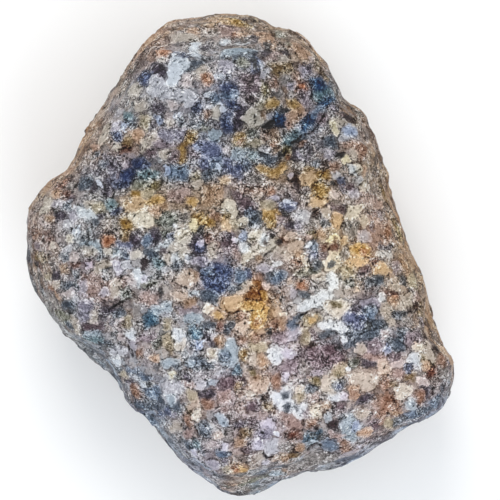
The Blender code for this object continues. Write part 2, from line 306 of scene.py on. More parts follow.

# %% List the crystals of the shoulders
# The slate, steel, navy, violet and teal crystals along the band under the upper lobe, and the azure
# ones at its right end, are listed as they look in that shade, so they are partly painted shade.
SHOULDER_CRYSTALS = """
tan 101,101 92,120 84,136 78,146 72,160 77,162 84,148 92,132 100,114 106,104
gold 80,146 88,138 90,134 88,144 82,148
clay 86,142 96,140 98,146 92,150 86,148
pearl 107,104 114,103 116,110 112,114 107,112
stone 102,116 108,116 110,122 106,130 108,136 106,142 98,144 100,128
pearl 110,122 118,122 118,130 111,130
teal 124,112 130,112 130,118 124,118
ice 121,122 127,124 125,132 121,130
navy 112,131 120,130 122,136 120,142 116,143 114,138
cream 113,142 120,144 121,149 115,150
slate 92,151 98,150 99,157 94,158
plum 102,152 110,156 110,162 104,158
slate 100,160 106,160 106,166 101,165
plum 108,160 114,160 117,166 112,170 108,166
navy 113,184 122,180 130,178 130,184 122,188 114,188
plum 102,186 110,186 112,194 106,200 101,196
plum 92,182 96,186 95,192 92,190
slate 80,176 90,175 92,182 88,190 79,187
snow 97,181 101,183 101,186 97,184
brick 50,184 60,181 66,174 72,174 66,184 58,188 50,188
buff 58,178 64,172 66,176 62,182
peach 48,190 60,189 60,198 52,198
stone 40,196 50,192 52,204 44,208
brick 61,190 68,188 70,194 64,198 61,196
grey 66,182 74,182 72,190 66,190
dusk 64,197 72,196 72,200 66,202
slate 60,204 70,204 72,210 62,210
lilac 52,200 60,200 60,206 52,206
stone 84,202 94,200 94,208 86,209
teal 104,203 112,200 118,204 114,209 106,209
stone 135,102 144,100 146,106 140,110 134,108
slate 124,112 130,112 134,118 134,126 128,126 124,120
buff 140,114 147,114 149,122 147,130 141,126
plum 150,122 155,123 154,128 148,130
peach 130,132 136,127 142,130 143,138 140,144 134,140
bronze 123,136 130,134 132,140 128,147 122,145
stone 146,140 152,134 156,130 156,140 150,144
cream 140,142 144,141 145,146 141,146
blush 166,101 174,101 180,104 178,108 170,108
ash 184,101 194,100 192,105 187,108
plum 150,102 160,104 166,108 158,112 150,110
navy 192,106 200,101 204,104 203,112 196,114 192,110
clay 204,112 210,111 211,118 206,121 204,117
cream 211,111 219,104 226,108 222,114 220,121 213,120
snow 222,104 227,109 222,114 220,108
ash 203,101 208,102 209,108 205,108
ice 153,116 158,114 162,118 160,126 154,122
stone 164,121 172,121 173,127 166,128
snow 174,115 180,115 179,118 174,118
slate 177,118 185,118 185,126 178,126
slate 190,123 206,122 206,128 192,128
sage 202,126 210,127 206,134 201,132
quartz 156,130 170,129 186,130 188,138 180,143 164,141 156,138
mauve 152,141 166,142 176,144 170,148 156,148
gold 188,131 195,131 196,140 190,146 182,150 178,148 186,142
gold 178,150 186,146 186,154 184,162 180,165 175,162 180,156
dusk 170,154 178,152 180,158 176,163 170,162
stone 158,152 168,149 172,156 166,160 160,158
dusk 146,150 156,149 156,156 148,158 144,154
cream 140,148 149,146 148,151 142,153
brick 120,147 132,146 128,152 122,153
navy 134,160 146,159 150,165 146,170 136,170 132,165
navy 122,172 132,168 136,174 132,180 122,180
teal 136,172 150,170 158,174 156,180 140,180
ice 164,167 168,167 169,174 165,175
steel 168,166 188,165 190,172 186,180 170,180 166,174
violet 190,142 202,140 214,142 222,148 222,158 214,166 204,170 198,164 200,154 192,150
dusk 191,150 200,152 199,160 191,158
mist 209,132 216,130 222,134 218,141 210,140
steel 210,160 222,158 222,166 212,168
slate 204,172 214,168 224,168 220,172 210,178 204,182 201,178
snow 195,147 199,147 199,151 196,151
snow 216,164 220,164 220,168 217,168
straw 220,178 230,176 230,182 224,186 220,184
sage 132,182 146,180 152,182 142,187 132,188
olive 150,181 158,182 158,188 150,190 144,188
buff 142,190 153,190 151,196 144,197
gold 132,190 142,192 142,198 134,198 129,196
straw 124,204 132,198 142,198 146,206 142,212 126,212
honey 146,200 156,196 164,198 160,204 150,206
rose 168,192 180,190 190,192 188,200 178,202 168,198
honey 186,199 194,198 198,202 194,207 188,204
buff 192,172 198,170 202,178 198,180 191,178
stone 190,182 201,180 202,186 194,188
tan 202,184 222,186 220,204 204,205
mauve 120,163 126,162 128,168 122,170
navy 221,116 228,111 232,114 231,122 234,130 230,134 224,133 221,127
plum 232,102 246,104 252,108 246,112 243,118 243,124 240,130 234,130 232,122 233,112
wine 250,100 258,100 254,107 249,108
bone 242,118 247,112 252,109 257,110 260,113 261,118 262,122 260,128 257,130 252,129 249,124 245,122
buff 256,106 260,100 266,100 264,106 258,109
tan 261,112 265,110 267,116 264,121 261,118
ash 267,115 271,112 272,116 268,119
black 263,129 264,124 269,121 276,121 277,124 272,127 267,128
azure 274,113 277,108 284,108 289,109 287,114 287,122 284,126 278,126 273,123
ink 277,108 283,108 290,109 288,112 280,113
peach 288,112 296,110 300,106 306,110 304,116 298,121 293,124 288,120
orange 287,122 292,122 292,128 288,129
rust 300,102 306,103 305,109 302,109
azure 300,121 306,115 312,112 316,113 316,122 311,129 304,134 300,128
steel 317,107 323,104 326,107 318,116 312,119 310,114
umber 327,107 334,103 341,106 338,112 329,114
dusk 319,114 326,112 331,118 324,124 317,122
slate 297,139 301,132 306,134 310,138 304,139
ink 292,140 298,136 299,139 293,143
teal 285,136 292,130 301,127 306,130 299,138 290,144 283,148 279,144
ash 296,125 299,124 300,128 296,129
tan 268,131 274,129 279,133 281,140 279,146 280,150 273,152 270,148 270,140 267,136
rust 272,144 275,142 276,147 272,148
clay 262,131 268,131 268,138 262,139
moss 246,131 252,130 257,132 258,137 254,138 248,137 245,134
gold 234,138 238,134 244,133 248,137 246,141 242,145 236,144 233,142
rust 238,141 243,140 242,144 238,144
buff 232,145 240,144 250,140 260,140 264,143 258,147 248,147 236,149
blush 224,148 229,146 230,150 228,154 224,152
mist 232,150 238,147 246,148 250,152 244,156 238,160 232,158
ash 259,149 263,146 266,149 270,149 271,153 265,152
slate 256,155 262,152 268,154 272,156 278,153 282,154 278,160 272,165 266,166 260,163 256,160
ink 277,153 282,153 281,159 277,161
teal 249,152 256,153 257,160 250,160
navy 234,164 240,163 244,167 242,172 236,170 233,167
steel 238,158 248,158 252,164 246,170 244,164
violet 224,158 232,160 234,168 242,173 240,177 230,175 222,170
honey 256,167 262,165 268,168 274,170 280,166 285,163 286,167 281,173 276,178 271,176 266,173 260,173
olive 282,147 290,146 290,152 288,158 284,158 281,153
rust 286,155 289,155 288,159 286,159
plum 291,151 298,149 301,154 298,160 292,160
quartz 296,152 306,154 309,160 302,160
pearl 289,173 292,171 292,177 289,176
umber 292,170 299,171 300,178 298,184 293,182
wine 294,182 300,184 302,188 298,191 294,187
wine 303,186 309,186 311,190 306,193 302,190
straw 301,172 306,170 313,171 317,175 316,181 311,185 306,186 302,182 300,177
gold 311,182 318,182 325,184 330,190 327,197 322,201 316,198 312,192 310,186
gold 304,168 308,166 313,168 308,170
clay 299,141 305,141 306,145 300,146
plum 306,145 312,148 310,156 306,156
slate 310,160 318,160 320,166 314,167 310,164
umber 320,161 327,160 328,166 323,170 320,168
gold 318,170 328,170 329,178 322,180 317,176
grey 246,174 256,174 262,178 262,183 252,183 246,181
clay 240,188 250,186 262,187 268,188 268,192 258,194 246,193 240,193
orange 268,188 273,187 274,193 269,194
dusk 232,190 240,192 246,197 250,198 240,203 234,200
stone 252,194 260,193 262,198 254,200
pearl 268,199 276,195 281,196 276,200 270,201
snow 282,199 292,199 292,202 283,202
violet 278,202 290,202 296,206 290,210 280,210
buff 262,202 272,201 276,206 270,208 262,208
straw 311,196 316,198 322,202 328,202 326,206 316,208 310,204
umber 331,113 338,111 346,112 356,118 360,121 354,121 346,118 338,115
bronze 340,103 348,103 355,109 358,116 363,124 370,131 376,137 368,138 362,130 356,120 350,110 343,106
bronze 370,134 379,143 380,152 382,162 384,169 384,180 379,186 374,180 374,164 373,150
bronze 379,186 384,180 388,190 393,200 397,209 388,209 384,200
tan 341,106 347,107 352,113 346,114 341,111
plum 330,106 338,103 340,108 334,112 330,112
wine 341,111 350,114 352,119 344,116
stone 332,118 340,116 350,120 358,126 360,131 352,126 344,124 336,126 331,124
ivory 331,124 335,122 338,130 336,134 332,130
ice 343,127 350,125 355,128 358,134 352,136 345,133
ash 340,132 350,136 358,137 356,142 346,142 340,138
shell 361,132 368,134 369,139 362,138
clay 342,143 352,141 362,142 370,146 368,156 362,160 356,152 350,148 343,148
slate 324,137 332,136 336,142 337,148 331,148 326,144
black 335,156 340,153 345,152 344,154 338,157 335,158
lilac 324,149 332,148 336,152 334,158 328,161 325,156
ivory 341,160 344,155 348,155 351,160 347,164 345,166
stone 351,150 355,152 356,157 351,156
milk 350,166 355,164 358,168 356,174 352,172
bone 356,162 361,164 364,169 358,172 357,167
ash 352,178 360,176 364,180 360,186 354,184
peach 362,164 368,166 370,174 364,176
clay 328,163 338,163 341,168 334,171 329,168
ash 332,172 338,170 341,176 336,180 332,178
navy 337,180 342,178 346,181 344,185 339,184
ink 330,182 336,182 334,185 330,185
dusk 346,184 352,182 356,188 352,192 346,190
grey 352,180 358,180 360,186 354,188
cream 361,184 367,183 369,188 366,191 361,189
lilac 350,190 358,190 362,194 357,197 350,196
blush 331,190 336,192 341,196 338,198 333,196
plum 338,186 346,188 350,192 342,192
rose 362,192 372,190 380,194 384,202 384,208 374,209 362,206 356,200
slate 371,154 375,152 376,162 372,165
stone 366,176 372,178 374,186 380,192 376,196 368,190 364,182
"""
print("shoulders:", SHOULDER_CRYSTALS.count("\n") - 1, "crystals")

# %% List the crystals of the broad middle
MIDDLE_CRYSTALS = """
brick 32,214 36,209 38,206 36,202 33,206 29,214
cream 38,208 48,204 52,208 44,212 38,214
tan 43,216 50,214 54,218 52,222 46,220
blush 38,220 44,217 48,219 50,224 46,226 40,223
black 53,209 57,208 57,211 54,212
plum 54,213 62,211 67,213 66,219 59,219 56,222 52,221
slate 60,202 70,200 72,206 64,210 60,208
milk 75,206 82,210 88,206 92,212 98,216 98,220 90,219 84,217 78,218 76,212
lilac 70,212 76,208 78,216 74,222 70,218
plum 97,215 102,214 103,219 99,220
slate 92,219 97,218 98,224 93,225 91,222
navy 111,210 116,208 120,211 117,216 113,216
buff 92,204 100,203 104,208 100,213 94,212
gold 122,220 128,217 132,222 134,227 128,231 122,230
ash 64,220 70,220 72,226 66,228 63,224
snow 75,228 79,226 80,232 77,236 73,234
bone 66,236 71,236 72,241 67,242 65,239
slate 80,238 86,234 90,236 93,240 87,241 84,241
ink 85,236 88,235 90,239 86,240
mist 80,242 90,240 98,240 103,246 103,254 96,252 88,248 82,248
stone 82,248 90,246 98,252 94,256 84,254
ash 62,250 66,244 71,246 70,252 64,254 61,253
blush 70,254 76,254 80,258 75,262 70,259
umber 102,236 106,232 111,231 116,236 116,242 112,248 106,250 102,245
orange 104,238 107,235 112,235 114,240 112,245 108,248 104,246
cream 104,250 112,249 113,254 106,254
violet 116,242 130,242 130,248 118,248
lilac 118,250 130,248 134,253 130,259 120,259
steel 121,252 127,251 130,256 126,260 121,258
mist 110,250 118,248 119,256 112,256
dusk 82,262 86,257 92,257 94,262 91,267 90,272 84,273 81,268
pearl 86,263 90,263 89,267 86,268
brick 71,264 76,261 81,262 80,266 75,267
slate 96,258 101,255 105,256 100,259
stone 93,263 102,262 112,262 111,268 104,270 98,273 94,270
pearl 112,262 122,262 122,268 120,273 117,275 114,268
slate 103,270 112,269 113,276 108,279 103,276
grey 105,272 112,271 112,276 108,278
rose 80,276 92,272 102,276 112,280 118,276 127,278 124,288 118,298 108,300 92,298 80,294 78,284
lilac 80,280 86,282 87,296 80,294
lilac 101,288 107,287 109,294 104,298 100,294
stone 112,282 120,278 119,296 110,298
blush 127,276 133,275 136,286 127,284
clay 28,228 36,226 40,234 34,240 28,238
brick 30,229 34,229 34,234 30,234
mauve 30,242 38,244 40,250 32,250
rose 42,238 54,238 56,248 46,248
brick 46,238 52,237 52,242 46,243
cream 51,244 55,243 56,247 52,249
bronze 30,254 44,254 50,260 40,262 30,260
plum 31,262 36,261 37,267 32,267
brick 37,266 42,266 42,271 37,272
plum 52,272 57,271 59,278 54,282 50,277
slate 60,256 66,254 68,260 62,262
slate 72,272 78,271 80,278 74,281
tan 60,266 66,267 67,273 62,273
buff 40,274 50,274 50,280 42,280
orange 42,286 48,283 53,286 53,291 46,292 41,290
peach 46,292 56,294 60,300 50,298
stone 52,282 57,282 58,288 54,288
blush 60,296 70,292 73,288 75,289 72,295 64,298
ash 71,297 77,295 78,301 73,303
slate 60,282 70,282 80,286 78,292 68,290 60,288
slate 62,302 72,300 78,306 72,310 62,308
grey 29,272 35,276 44,290 42,300 34,292 29,280
bone 128,212 138,209 146,208 149,214 156,218 154,224 148,226 141,225 136,227 133,222 129,218
peach 146,206 156,208 160,214 158,218 150,212
tan 150,202 166,202 166,210 158,214 152,208
moss 157,216 166,212 174,214 178,222 170,228 160,226 155,222
grey 178,214 188,213 190,220 180,222
snow 173,224 175,224 176,227 173,227
gold 193,217 200,214 208,216 214,222 210,227 203,227 198,224
ivory 188,220 195,219 199,226 196,230 190,229
black 198,228 203,226 202,231 198,231
clay 210,210 220,212 220,222 212,218
gold 220,214 230,216 230,224 222,226
plum 130,232 138,230 142,238 140,246 132,246 126,240
bronze 120,230 128,232 128,244 121,240
steel 144,236 150,234 152,242 146,248 142,244
plum 150,229 158,228 160,238 156,246 150,240
moss 158,232 168,230 170,236 160,238
navy 168,235 173,234 174,239 168,240
milk 156,246 163,243 166,239 169,239 171,244 168,249 160,249 156,250
bone 174,236 180,232 187,229 190,232 184,236 180,241 174,240
cream 181,240 190,235 191,240 186,244 180,245 178,242
stone 171,244 178,243 181,248 175,252 170,250
cream 180,250 185,249 187,254 183,258 180,256
milk 173,253 179,253 181,258 176,262 171,258
dusk 162,249 169,248 170,253 162,252
stone 164,254 171,254 172,262 168,264 163,260
teal 153,260 161,260 165,266 160,270 154,268
slate 172,262 182,260 180,268 172,268
snow 185,258 190,257 190,261 186,261
plum 190,235 200,232 206,240 207,252 198,254 190,250 187,245
navy 196,244 203,246 202,250 196,250
pearl 198,241 202,240 201,245 198,245
brick 204,232 213,234 215,240 208,243 204,240
stone 208,246 212,243 216,246 215,253 217,256 210,258 208,254
quartz 191,257 203,256 206,262 203,266 196,264 190,262
cream 130,252 140,250 142,258 132,260
wine 141,260 146,260 147,268 142,270
ash 122,262 130,262 131,268 123,268
slate 144,252 154,248 158,258 152,262 146,258
milk 132,270 138,268 142,274 147,276 145,282 140,284 141,288 136,286 133,278
pearl 141,276 148,277 146,282 142,281
sage 142,282 156,281 158,286 144,288
ink 155,272 160,272 161,278 157,278
shell 178,276 182,271 190,270 196,273 199,279 195,283 188,286 180,284 176,281
tan 190,270 198,272 199,278 194,280
ash 160,268 168,266 170,270 163,273
navy 202,270 212,266 222,265 232,268 232,288 226,294 218,296 212,290 204,285 200,278
steel 202,270 212,268 214,276 204,276
slate 200,290 212,290 220,296 216,304 204,302 198,296
rose 140,296 148,292 156,296 158,304 148,306 140,302
mist 162,303 170,303 172,310 162,310
shell 172,292 184,290 190,296 184,302 174,300
tan 180,302 194,300 196,306 184,308
mist 190,292 196,291 196,296 191,297
ink 158,291 160,290 160,296 158,296
moss 120,290 128,288 130,298 122,300
bone 222,206 228,200 234,202 236,210 234,218 230,224 224,220 222,212
straw 222,220 232,222 230,230 221,229
dusk 236,200 250,200 258,204 256,209 244,214 238,210
slate 252,213 262,212 262,222 258,228 250,227 247,220
steel 246,210 256,210 250,218 246,216
bone 240,218 245,216 248,220 246,225 240,226 237,222
snow 255,225 257,225 257,228 254,228
buff 232,222 238,222 240,228 234,230
honey 262,212 268,209 276,209 281,214 281,219 276,224 272,228 267,226 264,220
gold 270,212 276,216 274,224 268,222
violet 280,202 290,200 297,205 294,210 284,210 279,207
ink 283,211 289,212 288,215 284,214
ash 292,214 300,211 310,212 310,220 302,224 296,220
quartz 292,222 300,222 302,228 294,229
plum 283,224 292,222 294,228 286,229
mauve 276,216 288,216 282,222 278,226
blush 275,228 279,227 278,231 275,231
wine 268,231 273,230 276,235 272,237 268,234
stone 322,210 330,208 330,219 324,219
umber 312,210 320,208 320,216 313,216
grey 312,218 318,217 322,222 316,226
bone 248,236 252,232 258,231 262,232 262,238 256,240 249,239
milk 262,233 266,234 269,237 266,244 261,244 259,240
cream 253,246 260,242 268,240 278,238 280,241 276,248 268,252 260,254 252,253 250,250
milk 242,242 248,242 250,247 246,252 242,248
bone 243,252 250,250 252,256 248,260 244,262 242,258
umber 266,242 269,242 269,244 266,244
ice 240,232 246,232 246,238 241,240
snow 233,239 239,239 239,241 234,241
dusk 221,233 230,231 236,236 240,246 236,254 228,256 222,250 220,240
plum 226,234 232,234 231,240 226,239
rose 232,250 240,250 242,260 234,258
bone 242,260 248,261 246,264 242,264
tan 254,254 260,254 262,260 256,262
clay 280,236 288,236 289,242 284,245 280,242
wine 277,240 280,240 279,246 277,244
shell 284,236 290,232 296,234 294,238 288,240
shell 289,241 297,238 302,241 304,247 298,250 290,252 288,246
tan 294,250 303,250 303,256 296,258
clay 294,256 304,257 304,264 298,268 292,264
bone 303,255 305,255 308,266 306,268
rose 303,236 310,234 312,239 306,242
olive 306,232 314,230 318,238 312,240
steel 308,244 316,241 319,247 314,250 308,248
snow 307,245 310,244 310,247 307,247
violet 308,250 318,250 320,258 310,260
tan 318,231 326,231 325,237 320,239 316,235
brick 322,244 327,243 326,250 321,250
lilac 258,266 266,264 272,268 266,274 260,273
milk 272,264 280,261 282,263 274,266
slate 266,274 272,271 272,277 268,281
steel 270,278 274,272 282,270 287,274 284,280 278,285 272,283
blush 264,282 268,280 270,284 268,288 264,287
navy 246,268 252,270 252,276 246,277
steel 236,270 246,272 244,280 236,282
slate 238,280 244,280 242,286 238,285
slate 232,284 240,288 234,294 228,292
stone 238,288 246,282 250,284 246,290 240,296 236,294
amber 250,284 254,277 260,279 264,286 268,293 268,300 262,302 250,302 242,302 244,296 247,290
gold 260,290 267,292 267,299 262,300
clay 254,274 259,273 262,280 256,280
straw 222,304 226,298 236,296 242,300 242,308 224,309
honey 242,303 256,303 262,308 250,311 242,309
sage 294,272 304,268 312,270 312,274 300,276 296,275
moss 310,268 318,270 320,274 312,276
slate 312,262 320,262 322,268 314,269
orange 296,282 304,280 308,284 306,289 298,289
shell 288,280 292,278 292,284 288,284
milk 330,291 333,292 330,300 318,307 304,311 296,310 300,304 312,298
slate 300,292 310,294 308,299 302,298
lilac 292,290 298,290 296,298 292,298
grey 318,280 326,282 326,288 318,290
stone 312,276 324,274 326,280 314,280
dusk 328,206 346,206 347,211 343,213 338,210 330,210
cream 347,210 356,206 364,206 362,212 356,216 350,219 345,217
straw 333,214 341,213 344,220 340,228 334,230 331,224
lilac 322,210 330,212 332,218 326,222 321,218
ink 321,220 328,222 330,226 325,227 321,223
grey 346,219 356,219 360,222 358,232 352,240 346,236 343,228
rose 360,218 372,212 382,216 392,222 392,240 384,246 378,248 370,250 366,244 360,240 358,230
clay 384,222 392,224 391,238 386,242 383,234
lilac 360,232 366,230 370,234 370,241 362,242 358,238
dusk 370,222 373,223 374,230 371,230
stone 360,218 366,216 370,222 364,228 359,224
brick 368,211 373,210 375,214 370,213
dusk 375,212 381,211 383,218 378,218
honey 352,246 358,243 366,244 370,250 368,256 361,258 355,254 351,250
orange 360,248 367,250 366,256 360,255
straw 346,258 352,254 360,259 368,262 362,266 352,266
ivory 324,240 330,236 338,234 341,240 338,245 330,243 325,242
brick 330,244 336,243 340,247 336,250 328,249
clay 333,240 339,240 338,244 333,244
straw 341,240 346,238 348,242 343,245
bone 322,262 328,258 330,250 340,250 342,256 341,264 336,272 326,270
slate 329,263 334,261 337,264 333,267 329,266
dusk 320,252 328,252 327,258 320,259
grey 343,250 349,250 350,257 346,259 342,256
buff 342,264 352,267 352,276 344,276 340,270
bronze 341,262 345,262 345,267 342,267
dusk 360,268 366,264 370,266 372,272 366,276 360,276 358,272
brick 372,260 378,258 380,262 378,266 373,264
straw 375,268 381,264 388,266 392,270 388,275 381,275 376,272
ash 377,252 384,249 392,250 394,256 388,259 382,256 378,257
plum 380,242 386,244 392,247 390,249 384,248 379,246
mauve 391,262 400,260 402,268 398,274 392,268
ink 402,276 406,278 407,284 402,282
stone 391,284 400,284 401,289 392,289
milk 327,276 332,273 337,278 337,288 332,291 327,288
milk 320,292 327,290 328,298 322,303 318,299
moss 345,281 352,279 353,284 347,285
slate 366,278 374,276 384,277 384,283 376,286 368,284
straw 356,287 360,286 360,290 356,290
milk 378,296 384,294 386,299 381,301 378,299
brick 380,291 392,290 398,294 404,296 398,298 388,294
peach 390,297 397,296 400,300 396,306 390,303
quartz 362,300 372,298 380,303 384,309 366,306 361,306
plum 352,306 360,304 362,312 350,312
olive 330,303 338,302 342,305 334,307
stone 400,298 410,294 414,302 408,310 398,308
bronze 386,204 392,206 397,215 400,224 403,232 404,246 398,244 394,230 390,215
olive 397,216 402,228 405,238 404,246 400,240 397,228
bronze 398,244 404,246 408,250 414,258 420,268 419,274 412,268 406,260 400,252
clay 405,253 411,253 412,259 406,258
tan 400,258 408,262 412,270 408,274 400,266
buff 410,270 418,274 420,284 422,290 414,290 410,280
dusk 417,270 420,274 422,284 419,282
umber 418,290 423,292 428,301 430,307 424,304 420,298
rose 412,290 418,292 422,302 416,302
ink 410,288 413,288 413,291 410,291
umber 414,301 420,304 420,309 416,308
"""
print("broad middle:", MIDDLE_CRYSTALS.count("\n") - 1, "crystals")

